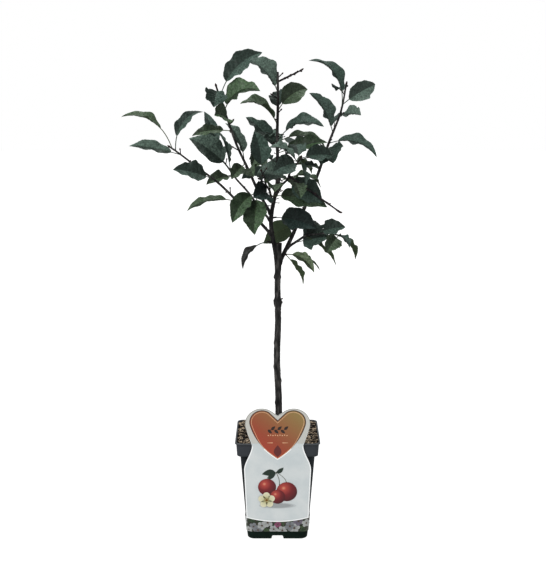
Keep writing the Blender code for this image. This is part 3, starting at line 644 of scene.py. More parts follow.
def growRibs(heap, blade):  # the stalk goes on as the midrib, and side veins leave it on both sides
    spine = []
    stem = blade.stem
    for r in range(leaf["stalkSteps"]):
        share = blade.stalk * r / leaf["stalkSteps"]
        normal = stem.right.cross(stem.headingAt(max(share, 0.004))).normalized()
        thick = leaf["ribThick"] * leaf["stalkSwell"][min(r, 1)]
        spine.append(ringAt(stem.point(share), stem.right, normal, thick, leaf["ribSides"]))
    for r in range(leaf["ribSteps"]):
        v = leaf["ribTo"] * r / (leaf["ribSteps"] - 1)
        middle, along, across, face = blade.lay(v)
        thick = leaf["ribThick"] * (0.85 * (1.0 - v) ** 0.8 + 0.1)
        spine.append(ringAt(middle - face * leaf["ribSink"], across, face, thick, leaf["ribSides"]))
    heap.addGrid(spine, closed=True)
    for k in range(leaf["veinPairs"] - 1):
        for side in (-1, 1):
            vein = []
            for t in leaf["veinStops"]:
                v = min(leaf["veinTo"], (k + 0.5) / leaf["veinPairs"] + leaf["veinSlant"] * t)
                spot, face = blade.spot(v, side * t)
                thick = leaf["veinThick"] * (1.25 - t)
                vein.append(ringAt(spot, blade.lay(v)[1], face, thick, leaf["veinSides"]))
            heap.addGrid(vein, closed=True)


def budAt(heap, foot, way, size):
    side = way.orthogonal().normalized()
    other = way.cross(side)
    heap.addGrid([ringAt(foot + way * size * t, side, other, size * bud["slim"] * r, bud["sides"])
                  for t, r in bud["profile"]], closed=True)


def seededTwigs(stem, first, spec):
    chance = random.Random(spec["seed"])
    azimuth = chance.uniform(0, 360)
    for k in range(spec["twigs"]):
        share = mix(first, 1.0, (k + 0.35 + 0.5 * chance.random()) / (spec["twigs"] + 0.2))
        azimuth += twig["goldenAngle"]
        spread = math.radians(chance.uniform(*twig["spread"]))
        outward = stem.around(share, math.radians(azimuth))
        way = stem.frameAt(share)[0] * math.cos(spread) + outward * math.sin(spread)
        heading = math.degrees(math.atan2(way.y, way.x))
        rise = math.degrees(math.asin(way.z))
        shoot = Stem(stem.point(share), heading, rise, chance.uniform(*twig["length"]), twig["thick"])
        row = (heading + chance.uniform(*twig["leafSwing"]), rise * 0.3 + chance.uniform(*twig["leafRise"]),
               chance.uniform(*twig["leafLength"]), chance.uniform(*twig["leafBreadth"]),
               chance.uniform(*twig["leafTurn"]), chance.uniform(*twig["leafBow"]), twig["leafStalk"])
        yield shoot, row


def growMass(name, spec, limbs, heaps):
    twigs, buds = heaps["twigs"], heaps["buds"]
    solid = frame["nodes"][name].data
    space = BVHTree.FromPolygons([v.co for v in solid.vertices], [p.vertices for p in solid.polygons])

    def reaches(foot, row):  # the source skipped what had no room, so its solid says what grew
        heading, rise, length, breadth, turn, lift = row[:6]
        tip = Stem(foot, heading, rise, length, (0, 0), lift=lift).point(0.995)
        return space.find_nearest(tip, twig["near"])[0] is not None

    chance = random.Random(spec.get("seed", len(name)))
    stem = limbs[spec["limb"]]
    if "share" in spec:
        stem = Stem(stem.point(spec["share"]), spec["heading"], spec["rise"], spec["length"],
                    twig["spurThick"])
        barkTube(twigs, stem, bark["twigSides"], bark["onTwigs"])
    grown = 0
    for number, (share, heading, rise, length, breadth, *rest) in enumerate(spec["leaves"]):
        node = stem.point(share)
        row = (heading, rise, length / 1000.0, breadth / 1000.0, *rest)
        if not reaches(node, row):
            print(name, "leaf", number, "did not grow")
            continue
        growLeaf(heaps, node, row, number * 31 + len(name))
        grown += 1
        way = (directions(heading, rise)[0] + stem.headingAt(share)).normalized()
        budAt(buds, node + way * stem.radius(share) * bud["sunk"], way, bud["atLeaf"])
    if "twigs" in spec:
        offered = 0
        for shoot, row in seededTwigs(stem, stem.enters + gap / stem.length, spec):
            if space.find_nearest(shoot.point(0.98), twig["near"])[0] is None:
                continue
            barkTube(twigs, shoot, bark["twigSides"], bark["onTwigs"])
            budAt(buds, shoot.point(0.97), shoot.along, bud["onTwig"])
            if offered < spec["twigLeaves"] and reaches(shoot.point(twig["leafAt"]), row):
                tint = chance.choice(twig["leafTints"])
                growLeaf(heaps, shoot.point(twig["leafAt"]), row + (tint,), 400 + offered)
                offered += 1
        grown += offered
        budAt(buds, stem.point(0.985), stem.headingAt(0.97), bud["onTip"])
    for row in spec.get("bare", ()):
        growBare(stem, row, twigs, buds)
    return grown


def growBare(stem, row, twigs, buds):  # a long shoot with swellings and no leaves
    share, heading, rise, length = row
    shoot = Stem(stem.point(share), heading, rise, length / 1000.0, twig["bareThick"],
                 swellings=twig["bareSwellings"])
    barkTube(twigs, shoot, bark["twigSides"], bark["onBare"])
    for k, place in enumerate(twig["bareBuds"]):  # buds by turns above and below it
        way = (shoot.along + Vector((0.2, -0.4, 0.9 if k % 2 else -0.7))).normalized()
        budAt(buds, shoot.point(place) + way * 0.001, way, bud["onBare"])
    budAt(buds, shoot.point(0.98), (shoot.along + Vector((0.1, 0, 0.3))).normalized(), bud["bareTip"])


# short bristly spurs up the leader, and small buds along every bough
spurs = {"limb": "leader", "from": 0.36, "to": 0.72, "count": 26, "length": (0.007, 0.023),
         "thick": (0.0019, 0.0011), "rise": (-5, 32), "bow": (-0.08, 0.08), "scatter": 28, "seed": 31}


def growSpurs(limbs, twigs, buds):
    chance = random.Random(spurs["seed"])
    stem = limbs[spurs["limb"]]
    for k in range(spurs["count"]):
        share = mix(spurs["from"], spurs["to"], k / spurs["count"])
        heading = chance.gauss(0 if k % 3 else 180, spurs["scatter"])
        spur = Stem(stem.point(share), heading, chance.uniform(*spurs["rise"]),
                    chance.uniform(*spurs["length"]), spurs["thick"], lift=chance.uniform(*spurs["bow"]))
        barkTube(twigs, spur, bark["spurSides"], bark["onSpurs"])
        budAt(buds, spur.point(0.96), spur.along, bud["onSpur"])
    for name, stem in limbs.items():
        if name == "trunk":
            continue
        count = int(stem.length / bud["pitch"])
        for k in range(1, count):
            share = (k + chance.uniform(-0.3, 0.3)) / count
            outward = stem.around(share, math.radians(twig["goldenAngle"] * k))
            way = (outward + stem.frameAt(share)[0] * 0.8).normalized()
            foot = stem.point(share) + outward * stem.radius(share) * bud["sunk"]
            budAt(buds, foot, way, chance.uniform(*bud["onBough"]))


def makeFoliage(limbs, barks):
    heaps = defaultdict(Heap)
    leaves = sum(growMass(name, spec, limbs, heaps) for name, spec in foliage.items())
    growSpurs(limbs, heaps["twigs"], heaps["buds"])
    pieces = []
    for tint, (colour, kind) in tints.items():
        # each tint is made in a painted-light copy and a painted-shade copy
        for half, strength in leaf["halves"].items():
            tone = [channel * strength for channel in colour]
            tones = tonesOf(tone, leafSkins["shares"])
            material = finish("leaf_" + tint + "_" + half, tone, mottled=(*leafSkins["mottle"], tones),
                              **leafSkins["upper"])
            heap = heaps[tint + "_" + half]
            pieces.append(heap.piece("leaves_" + tint + "_" + half, material, "leafage"))
    for kind in undersides:
        material = finish("underside_" + kind, undersides[kind], **leafSkins["under"])
        pieces.append(heaps["under_" + kind].piece("leaf_undersides_" + kind, material, "leafage"))
        material = finish("rib_" + kind, ribTones[kind], **leafSkins["rib"])
        pieces.append(heaps["rib_" + kind].piece("leaf_ribs_" + kind, material, "leafage"))
    pieces.append(heaps["twigs"].piece("twigs", barks["young_bark"], "bark"))
    heaps["buds"].piece("buds", finish("bud_scales", **bud["skin"]), "bark")
    for piece in pieces:
        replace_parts(piece, *foliage)
    print("foliage done:", leaves, "leaves,", sum(len(heap.faces) for heap in heaps.values()), "faces")


# Pot

pot = {"height": 0.228, "baseHalf": 0.0664, "bodyHalf": 0.0815,
       "bodyStops": (0.0186, 0.08, 0.14, 0.19, 0.1965),  # heights of the rings up the body
       "rimFootHalf": 0.0882, "rimHalf": 0.0903, "rimFoot": 0.198, "rimSwell": (0.001, 0.2115),
       "lipHalf": 0.0925, "lipFoot": 0.2245, "lipWidth": 0.0034, "lipRound": 0.0006, "lipDepth": 0.004,
       "corner": 0.013, "cornerSteps": 12, "wall": 0.0021, "floor": 0.013, "shelf": 0.1995,
       "footRound": 0.0060, "edgeRound": 0.0012, "greenTop": 0.0185, "sharpFrom": 32,
       "notchWidth": 0.029, "notchTopWidth": 0.023, "notchHeight": 0.0095, "notchReach": 0.032,
       "notchRound": (0.0005, 0.0012), "notchBelow": 0.0015}
potSkins = {
    "pot_plastic": dict(
        colour=(0.036, 0.042, 0.049), roughness=0.6, specular=0.12, embossed=(1500, 3, 0.3, 0.0005),
        # painted shade and painted light: the plastic darkens towards the bottom of the body, is painted
        # lighter on the rim band, and has a painted highlight on the top of the lip
        shaded=("DOT_PRODUCT", (0.0, 0.0, 1.0), 0.04, pot["height"],
                ((0.0, (0.008, 0.011, 0.011)), (0.55, (0.014, 0.018, 0.020)),
                 (0.82, (0.022, 0.027, 0.031)), (0.86, (0.050, 0.055, 0.062)),
                 (0.975, (0.050, 0.055, 0.062)), (1.0, (0.085, 0.090, 0.095))))),
    "pot_foot": dict(
        colour=(0.008, 0.018, 0.013), roughness=0.55, specular=0.08, embossed=(1300, 3, 0.2, 0.0004),
        mottled=(60, 5, ((0.3, (0.004, 0.010, 0.007)), (0.7, (0.010, 0.024, 0.017))))),
}


def roundedSquare(half, height, radius):
    steps = pot["cornerSteps"]
    points = []
    for corner in range(4):
        middle = math.radians(45 + 90 * corner)
        x = math.copysign(half - radius, math.cos(middle))
        y = math.copysign(half - radius, math.sin(middle))
        for i in range(steps):
            angle = middle + math.radians(90) * (i / (steps - 1) - 0.5)
            points.append(Vector((x + radius * math.cos(angle), y + radius * math.sin(angle), height)))
    return points


def arcStops(x, z, radius, start, end, count):  # an arc between two angles
    turns = (math.radians(mix(start, end, i / count)) for i in range(count + 1))
    return [(x + radius * math.cos(turn), z + radius * math.sin(turn)) for turn in turns]


def potHalf(height):
    return mix(pot["baseHalf"], pot["bodyHalf"], height / pot["rimFoot"])


def potProfile():  # half breadths and heights, up the outside and down the inside
    edge = pot["edgeRound"]
    foot = pot["footRound"]
    lip = pot["lipRound"]
    inner = pot["lipHalf"] - pot["lipWidth"]
    swell, swellAt = pot["rimSwell"]
    return [(pot["baseHalf"] - 2 * foot, 0.0),
            *arcStops(pot["baseHalf"] - foot, foot, foot, -90, 0, 6),
            *[(potHalf(height), height) for height in pot["bodyStops"]],
            *arcStops(pot["rimFootHalf"] - edge, pot["rimFoot"] - 0.001 + edge, edge, -90, 0, 4),
            (pot["rimFootHalf"] + swell, swellAt), (pot["rimHalf"] - 0.0003, pot["lipFoot"] - 0.0004),
            *arcStops(pot["lipHalf"] - lip, pot["lipFoot"] + lip, lip, -90, 0, 3),
            *arcStops(pot["lipHalf"] - edge, pot["height"] - edge, edge, 0, 90, 4),
            *arcStops(inner + edge * 0.7, pot["height"] - edge * 0.7, edge * 0.7, 90, 180, 3),
            (inner, pot["lipFoot"] - pot["lipDepth"]),
            (pot["rimFootHalf"] - pot["wall"], pot["shelf"]), (pot["bodyHalf"] - pot["wall"], pot["shelf"]),
            (pot["baseHalf"] + 0.0005 - pot["wall"], pot["floor"])]


def notchCutter(turn):
    half = pot["notchTopWidth"] / 2
    wider, lower = pot["notchRound"]
    right = [(pot["notchWidth"] / 2, -pot["notchBelow"]), (half + wider, pot["notchHeight"] - lower),
             (half - lower, pot["notchHeight"])]
    outline = [(-right[0][0], right[0][1])] + right + [(-across, height) for across, height in right[:0:-1]]
    ends = (pot["baseHalf"] - pot["notchReach"], pot["baseHalf"] + pot["notchReach"])
    return solidFromRings("notch_cutter", [[turn @ Vector((reach, across, height))
                                            for across, height in outline] for reach in ends])


def makePot():
    rings = [roundedSquare(half, height, min(pot["corner"], half * 0.9)) for half, height in potProfile()]
    body = solidFromRings("pot_body", rings)
    for quarter in range(4):
        cutter = notchCutter(Matrix.Rotation(math.tau * quarter / 4, 3, "Z"))
        cut = body.modifiers.new("notch", "BOOLEAN")
        cut.operation = "DIFFERENCE"
        cut.solver = "EXACT"
        cut.object = cutter
        graph = bpy.context.evaluated_depsgraph_get()
        result = bpy.data.meshes.new_from_object(body.evaluated_get(graph))
        body.modifiers.clear()
        body.data = result
        bpy.data.objects.remove(cutter, do_unlink=True)
    mesh = body.data
    mesh.shade_smooth()
    mesh.set_sharp_from_angle(angle=math.radians(pot["sharpFrom"]))
    mesh.materials.clear()
    for name, skin in potSkins.items():
        mesh.materials.append(finish(name, **skin))
    for face in mesh.polygons:
        if face.center.z < pot["greenTop"]:
            face.material_index = 1
    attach(body, "root")
    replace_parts(body, "pot")
    print("pot done:", len(mesh.polygons), "faces")


# Bark mulch: a lumpy bed with chips and fibres strewn on it

mulch = {"half": 0.0893, "steps": 64, "bed": 0.2242, "lumps": 0.0024, "lift": 0.6, "edgeCalm": 0.8,
         "grain": ((70, 3.7, 1.0), (210, 1.1, 0.5)),  # coarse and fine: scale, shift, share
         "top": 0.2292, "trunkClear": 0.0125,
         "edge": 0.008, "corner": 0.011, "cornerRound": 0.0105, "mound": (0.0016, 0.02),
         "loose": (0.0004, 0.0030), "seed": 41, "lean": 16, "roll": 22, "chipEdge": 0.004,
         "ragged": (0.55, 0.5, 0.6),  # the least share of length, breadth and thickness at a corner
         "bedSkin": dict(colour=(0.02, 0.013, 0.009), roughness=0.95, specular=0.15,
                         mottled=(160, 8, ((0.3, (0.005, 0.004, 0.003)), (0.7, (0.026, 0.018, 0.012)))),
                         embossed=(700, 8, 0.9, 0.0012)),
         "chipSkin": dict(roughness=0.9, specular=0.2, stretch=(1, 1, 2.5)),
         "chipMottle": (300, 6), "chipShares": ((0.3, 0.55), (0.7, 1.5))}
# how many, and the ranges of length, breadth and thickness, all from the middle
strewn = (
    dict(count=1500, sizes=((0.003, 0.009), (0.0016, 0.0045), (0.0006, 0.0018)),
         tones=("umber", "umber", "russet", "ash", "straw", "straw")),
    dict(count=760, sizes=((0.006, 0.014), (0.0005, 0.0011), (0.0004, 0.0008)),
         tones=("straw", "straw", "straw", "ash")),
)
chipTones = {"umber": (0.008, 0.006, 0.005), "russet": (0.034, 0.022, 0.015), "ash": (0.085, 0.068, 0.052),
             "straw": (0.32, 0.265, 0.20)}


def mulchHeight(x, y):
    lump = sum(share * noise.noise(Vector((x * scale, y * scale, shift)))
               for scale, shift, share in mulch["grain"])
    edge = max(0.0, max(abs(x), abs(y)) - mulch["half"] + mulch["edge"]) / mulch["edge"]
    rise, spread = mulch["mound"]
    near = bump(math.hypot(x - trunkFoot.x, y), 0.0, spread)
    calm = 1.0 - mulch["edgeCalm"] * edge
    return mulch["bed"] + mulch["lumps"] * (lump + mulch["lift"]) * calm + rise * near


def makeMulch():
    steps = mulch["steps"]
    stops = [mulch["half"] * (2 * i / steps - 1) for i in range(steps + 1)]
    rows = [[Vector((x, y, mulchHeight(x, y))) for x in stops] for y in stops]
    corner = mulch["half"] - mulch["corner"]
    for spot in sum(rows, []):  # the bed's corners follow the pot's round ones
        dx = abs(spot.x) - corner
        dy = abs(spot.y) - corner
        reach = math.hypot(dx, dy)
        if dx > 0 and dy > 0 and reach > mulch["cornerRound"]:
            spot.x = math.copysign(corner + dx * mulch["cornerRound"] / reach, spot.x)
            spot.y = math.copysign(corner + dy * mulch["cornerRound"] / reach, spot.y)
    bed = Heap()
    bed.addGrid(rows)
    earth = finish("mulch_bed", **mulch["bedSkin"])
    bed.piece("mulch_bed", earth, "bark_mulch")
    frame["nodes"]["soil"].data.materials.clear()
    frame["nodes"]["soil"].data.materials.append(earth)
    heaps = defaultdict(Heap)
    chance = random.Random(mulch["seed"])
    for spec in strewn:
        for k in range(spec["count"]):
            tone, corners = looseChip(chance, spec)
            if corners and not any(abs(c.x) > corner and abs(c.y) > corner for c in corners):
                heaps[tone].addBlock(corners)
    for name, colour in chipTones.items():
        tones = tonesOf(colour, mulch["chipShares"])
        wood = finish("chip_" + name, colour, mottled=(*mulch["chipMottle"], tones), **mulch["chipSkin"])
        heaps[name].piece("mulch_" + name, wood, "bark_mulch", smooth=False)
    print("mulch done:", sum(len(heap.faces) for heap in heaps.values()), "chip faces")


def looseChip(chance, spec):
    half = mulch["half"]
    x = chance.uniform(-1, 1) * (half - mulch["chipEdge"])
    y = chance.uniform(-1, 1) * (half - mulch["chipEdge"])
    if math.hypot(x - trunkFoot.x, y) < mulch["trunkClear"]:
        return None, None
    size = [chance.uniform(*spread) for spread in spec["sizes"]]
    tone = chance.choice(spec["tones"])
    turn = (Matrix.Rotation(chance.uniform(0, math.tau), 3, "Z")
            @ Matrix.Rotation(math.radians(chance.gauss(0, mulch["lean"])), 3, "Y")
            @ Matrix.Rotation(math.radians(chance.gauss(0, mulch["roll"])), 3, "X"))
    centre = Vector((x, y, mulchHeight(x, y) + chance.uniform(*mulch["loose"])))
    corners = []
    for dz in (-1, 1):
        for dx, dy in ((-1, -1), (1, -1), (1, 1), (-1, 1)):
            ragged = Vector([side * reach * chance.uniform(least, 1)
                             for side, reach, least in zip((dx, dy, dz), size, mulch["ragged"])])
            spot = centre + turn @ ragged
            corners.append(Vector((max(-half, min(half, spot.x)), max(-half, min(half, spot.y)),
                                   min(spot.z, mulch["top"]))))
    return tone, corners


# Label card: one sheet that leans on the lip, printed in thin layers

card = {"thick": 0.0010, "lean": 0.1168, "foot": 0.043, "sideFoot": 0.053, "sideHalf": 0.0685,
        "shoulderHalf": 0.0730, "shoulder": 0.167, "neckHalf": 0.0555, "neck": 0.225,
        "lobe": (0.0342, 0.2735, 0.0360), "notch": 0.2935, "layer": 0.00009,
        "whiteEdge": (0.0025, 0.0005, 0.223),  # its width below and above this height
        "headFoot": ((0.0555, 0.229), (0.045, 0.2290), (0.0, 0.2300)), "headInset": 0.0003,
        "headEdge": (0.0001, 0.0010), "headEdgeFrom": 0.2325}
heart = {"lobe": (0.0335, 0.2785, 0.0270), "notch": 0.2825, "side": (0.0456, 0.2244), "tip": 0.1940,
         "closes": (0.222, 0.250), "under": (0.2200, 0.0026), "lineWidth": 0.0017, "threadAt": 0.0036,
         "threadWidth": 0.0010, "rule": 0.2310, "ruleHalf": (0.0105, 0.0225),
         "bud": (0.1985, 0.0270, 0.0165), "line": (-0.0002, 0.0020), "ruleThick": (0.0010, 0.0004),
         "sprigLeaves": (6, 0.75, 0.50), "garlandStep": 0.0010,  # count, angle, breadth to length; rise
         "sprig": (0.2610, 0.0420, 0.0120), "garland": (0.2480, 0.0400, 9), "dot": 0.0013}
lacquer = {"roughness": 0.36, "specular": 0.4, "Coat_Weight": 0.25, "Coat_Roughness": 0.2}
# edge is painted shade along the top of the head; the other inks are the print's own colours
inks = {"white": (0.66, 0.67, 0.67), "field": (0.455, 0.482, 0.485), "band": (0.42, 0.42, 0.395),
        "edge": (0.20, 0.195, 0.18), "line": (0.070, 0.034, 0.026), "cream": (0.56, 0.36, 0.23),
        "shadow": (0.27, 0.285, 0.29), "sprig": (0.026, 0.014, 0.012), "bud": (0.115, 0.022, 0.020),
        "stalk": (0.060, 0.055, 0.022), "leaf": (0.010, 0.026, 0.016), "stamen": (0.16, 0.085, 0.012)}
cloudy = (26, 3, ((0.35, (0.43, 0.462, 0.468)), (0.65, (0.48, 0.502, 0.502))))
petal = {"count": 5, "out": 0.56, "long": 0.44, "squash": 0.42 / 0.44, "sides": 14}
# red-orange at the left and below, olive-gold at the upper right
heartShade = ("DOT_PRODUCT", (0.62, 0.0, 0.78), 0.150, 0.258,
              ((0.0, (0.300, 0.052, 0.028)), (0.25, (0.265, 0.064, 0.029)), (0.45, (0.250, 0.090, 0.038)),
               (1.0, (0.235, 0.170, 0.064))))


def onCard(x, z, layer):
    y = -(pot["lipHalf"] + gap) - (z - pot["lipFoot"]) * card["lean"] - card["thick"]
    return Vector((x, y - layer * card["layer"], z))


def flat(points, layer):
    return [onCard(x, z, layer) for x, z in points]


def bothSides(right):
    return right + [(-x, z) for x, z in reversed(right[1:-1])]


def cardHead():
    return [(0.0, card["notch"])] + arcStops(*card["lobe"], 128, -25, 30)


def cardOutline():
    right = cardHead()
    for i in range(15):
        share = i / 14
        ease = share * share * (3 - 2 * share)
        right.append((mix(card["neckHalf"], card["shoulderHalf"], ease),
                      mix(card["neck"], card["shoulder"], share)))
    for i in range(13):
        half = card["sideHalf"] * (1 - i / 12)
        sag = (card["sideFoot"] - card["foot"]) * (1 - (half / card["sideHalf"]) ** 2)
        right.append((half, card["sideFoot"] - sag))
    return bothSides(right)


def heartOutline():
    right = [(0.0, heart["notch"])] + arcStops(*heart["lobe"], 125, -20, 30)
    x0, z0 = right[-1]
    x1, z1 = heart["side"]
    for i in range(1, 15):
        t = i / 14
        right.append((x0 * (1 - t) ** 2 + 2 * x1 * t * (1 - t),
                      z0 * (1 - t) ** 2 + 2 * z1 * t * (1 - t) + heart["tip"] * t * t))
    return bothSides(right)


def inset(outline, depth):
    # the outline runs clockwise, so its inside is on the right of each edge
    points = []
    for i, (x, z) in enumerate(outline):
        ax, az = outline[i - 1]
        bx, bz = outline[(i + 1) % len(outline)]
        nx = 0.0
        nz = 0.0
        for dx, dz in ((x - ax, z - az), (bx - x, bz - z)):
            size = math.hypot(dx, dz) or 1.0
            nx += dz / size
            nz -= dx / size
        size = math.hypot(nx, nz)
        grow = depth / max(0.5, size / 2)
        points.append((x + nx / size * grow, z + nz / size * grow))
    return points


def printPiece(name, heap, tone, **skin):
    return heap.piece(name, finish(name, tone, **lacquer, **skin), "label_print", smooth=False)


def printArea(name, outline, hub, layer, tone, **skin):
    area = Heap()
    area.addFan(flat(outline, layer), onCard(*hub, layer))
    printPiece(name, area, tone, **skin)


def addLine(heap, outer, inner, layer, closed=True):
    heap.addGrid([flat(outer, layer), flat(inner, layer)], closed=closed, flip=True)


def disc(heap, x, z, radius, layer, squash=1.0):
    heap.addFan(flat(circle(x, z, radius, 40, squash), layer), onCard(x, z, layer))


def turned(foot, turn, out, wide):  # a flat place by its measures along and across a turned line
    return (foot[0] + out * math.cos(turn) - wide * math.sin(turn),
            foot[1] + out * math.sin(turn) + wide * math.cos(turn))


# spotAt is onCard or onSleeve: it turns flat measures into points in a layer of the print

def blossom(heap, centre, radius, spin, spotAt, layer):
    for k in range(petal["count"]):
        turn = spin + math.tau * k / petal["count"]
        ring = circle(radius * petal["out"], 0.0, radius * petal["long"], petal["sides"], petal["squash"])
        heap.addFan([spotAt(*turned(centre, turn, out, wide), layer) for out, wide in ring],
                    spotAt(*turned(centre, turn, radius * petal["out"], 0.0), layer))


def printedLeaf(heap, foot, angle, length, breadth, spotAt, layer, bend=0.0):
    ring = []
    for side, steps in ((1, range(0, 11)), (-1, range(9, 0, -1))):
        for t in (i / 10 for i in steps):
            half = side * breadth / 2 * math.sin(math.pi * t ** 0.85)
            ring.append(spotAt(*turned(foot, angle + bend * t, length * t, half), layer))
    heap.addFan(ring, spotAt(*turned(foot, angle + bend * 0.5, length * 0.5, 0.0), layer))


def makeCard():
    outline = cardOutline()
    hub = (0, card["neck"])
    behind = Vector((0, card["thick"], 0))
    sheet = Heap()
    front = flat(outline, 0)
    back = [point + behind for point in front]
    sheet.addFan(front, onCard(*hub, 0))
    sheet.addFan(back, onCard(*hub, 0) + behind, flip=True)
    sheet.addGrid([back, front], closed=True)
    paper = printPiece("card_sheet", sheet, inks["white"], embossed=(240, 2, 0.06, 0.0006))
    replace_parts(paper, "label_card")

    # pale field, with a white edge left round it below the neck
    wide, slim, height = card["whiteEdge"]
    edges = zip(inset(outline, wide), inset(outline, slim))
    inner = [low if low[1] < height else high for low, high in edges]
    printArea("card_field", inner, hub, 1, inks["field"], mottled=cloudy)

    # pale band round the head, with a dark line of painted shade along its outer edge
    head = bothSides(cardHead() + list(card["headFoot"]))
    printArea("head_band", inset(head, card["headInset"]), (0, 0.250), 2, inks["band"])
    outer, inner = ([point for point in inset(head, depth) if point[1] > card["headEdgeFrom"]]
                    for depth in card["headEdge"])
    first = max(range(len(outer)), key=lambda i: outer[i - 1][0] - outer[i][0])  # the open strip starts here
    edge = Heap()
    addLine(edge, outer[first:] + outer[:first], inner[first:] + inner[:first], 3, closed=False)
    printPiece("head_edge_shade", edge, inks["edge"])
    makeHeart()
    makePosy()
    print("card done")


def makeHeart():
    shape = heartOutline()
    below, width = heart["under"]
    vee = [i for i, (x, z) in enumerate(shape) if z < below]
    under = Heap()  # a white line under the point of the heart
    addLine(under, [inset(shape, -width)[i] for i in vee], [shape[i] for i in vee], 3, closed=False)
    printPiece("heart_under", under, inks["white"])
    low, high = heart["closes"]
    shares = [min(1.0, max(0.0, (z - low) / (high - low))) for x, z in shape]

    def within(depth):  # the lines close in on the edge towards the point of the heart
        return [(mix(x, u, share), mix(z, w, share))
                for (x, z), (u, w), share in zip(shape, inset(shape, depth), shares)]

    line = Heap()
    addLine(line, *[inset(shape, depth) for depth in heart["line"]], 4)
    printPiece("heart_line", line, inks["line"])
    printArea("heart_field", within(heart["lineWidth"]), (0, 0.240), 5, (0.3, 0.08, 0.04), shaded=heartShade)
    thread = Heap()
    outer = within(heart["threadAt"])
    addLine(thread, outer, inset(outer, heart["threadWidth"]), 6)
    near, far = heart["ruleHalf"]
    thick, thin = heart["ruleThick"]
    for side in (-1, 1):  # a plain rule in two halves
        rule = [(side * near, heart["rule"] + thick), (side * far, heart["rule"] + thin),
                (side * far, heart["rule"] - thin), (side * near, heart["rule"] - thick)]
        thread.addFan(flat(rule, 6), onCard(side * (near + far) / 2, heart["rule"], 6), flip=side < 0)
    foot, length, breadth = heart["bud"]
    bloom = Heap()
    printedLeaf(bloom, (0.0, foot), math.pi / 2, length, breadth, onCard, 7)
    printPiece("heart_bud", bloom, inks["bud"])
    height, length, reach = heart["sprig"]
    sprig = Heap()
    count, angle, slim = heart["sprigLeaves"]
    for k in range(count):  # leaves set by turns along a level stem
        foot = (length * (k / count - 0.5), height)
        printedLeaf(sprig, foot, angle if k % 2 else -angle, reach, reach * slim, onCard, 7)
    stem = [(-length / 2, height + 0.0004), (length / 2, height), (-length / 2, height - 0.0004)]
    sprig.addFan(flat(stem, 7), onCard(0, height, 7))
    printPiece("heart_sprig", sprig, inks["sprig"])
    height, length, count = heart["garland"]
    for k in range(count):
        rise = heart["garlandStep"] * (k % 2)
        disc(thread, length * (k / (count - 1) - 0.5), height + rise, heart["dot"], 7)
    printPiece("heart_thread", thread, inks["cream"])


# A plain bunch: round red berries on stalks, dark leaves and one cream blossom

posy = {"berries": ((0.020, 0.116, 0.0225), (-0.023, 0.127, 0.0195), (0.0, 0.104, 0.0165)),
        "join": (-0.004, 0.163), "stalk": 0.0011, "bow": 0.006,
        "blossom": (-0.024, 0.096, 0.0190), "spin": 0.35,
        "leaves": ((-0.004, 0.160, 165, 0.030, 0.0145), (-0.004, 0.160, 205, 0.024, 0.0110),
                   (-0.003, 0.161, 18, 0.020, 0.0090)),
        "leafBend": 0.35, "shadow": (0.0, 0.0825, 0.041), "shadowRings": (1.0, 0.86, 0.70),
        "shadowSquash": 0.17,
        "light": (0.30, 0.38), "fade": 1.5,  # the lightest point of a ball, and how far it fades
        "stamens": (0.16, 0.27, 0.045, 11),  # middle, ring and dots by the blossom's radius, count
        "berryShade": ((0.0, (0.52, 0.25, 0.16)), (0.15, (0.34, 0.060, 0.045)),
                       (0.52, (0.155, 0.012, 0.016)), (1.0, (0.055, 0.004, 0.007))),
        "petalShade": ((0.0, (0.30, 0.30, 0.12)), (0.35, (0.46, 0.45, 0.31)), (0.8, (0.56, 0.54, 0.43)),
                       (1.0, (0.58, 0.56, 0.47)))}


def roundShade(x, z, radius, stops, light=(0.0, 0.0)):  # light is left of the middle and above it
    point = onCard(x - radius * light[0], z + radius * light[1], 6)
    return "DISTANCE", point, 0.0, radius * posy["fade"], stops


def makePosy():
    x, z, reach = posy["shadow"]
    for k, share in enumerate(posy["shadowRings"]):
        shadow = Heap()
        disc(shadow, x, z, reach * share, 2 + k, squash=posy["shadowSquash"])
        tone = [mix(pale, dark, (k + 1) / 3) for pale, dark in zip(inks["field"], inks["shadow"])]
        printPiece("posy_shadow_" + str(k), shadow, tone)
    stalks = Heap()
    joinX, joinZ = posy["join"]
    for x, z, radius in posy["berries"]:
        bow = posy["bow"] if x > joinX else -posy["bow"]
        sides = []
        for edge in (-posy["stalk"] / 2, posy["stalk"] / 2):
            side = [(mix(joinX, x, t) + bow * math.sin(math.pi * t) + edge, mix(joinZ, z + radius * 0.8, t))
                    for t in (i / 8 for i in range(9))]
            sides.append(flat(side, 5))
        stalks.addGrid(sides)
    printPiece("posy_stalks", stalks, inks["stalk"])
    greens = Heap()
    for k, (x, z, angle, length, breadth) in enumerate(posy["leaves"]):
        printedLeaf(greens, (x, z), math.radians(angle), length, breadth, onCard, 6 + k,
                    bend=posy["leafBend"])
    printPiece("posy_leaves", greens, inks["leaf"])
    for k, (x, z, radius) in enumerate(posy["berries"]):
        berry = Heap()
        disc(berry, x, z, radius, 7 + k)
        shade = roundShade(x, z, radius, posy["berryShade"], posy["light"])
        printPiece("posy_berry_" + str(k), berry, posy["berryShade"][1][1], shaded=shade)
    x, z, radius = posy["blossom"]
    petals = Heap()
    blossom(petals, (x, z), radius, posy["spin"], onCard, 11)
    shade = roundShade(x, z, radius, posy["petalShade"])
    printPiece("posy_petals", petals, posy["petalShade"][1][1], shaded=shade)
    stamens = Heap()
    middle, ring, dot, count = posy["stamens"]
    disc(stamens, x, z, radius * middle, 12)
    for u, w in circle(x, z, radius * ring, count):
        disc(stamens, u, w, radius * dot, 12)
    printPiece("posy_stamens", stamens, inks["stamen"])


# Sleeve: a printed band round the foot of the pot

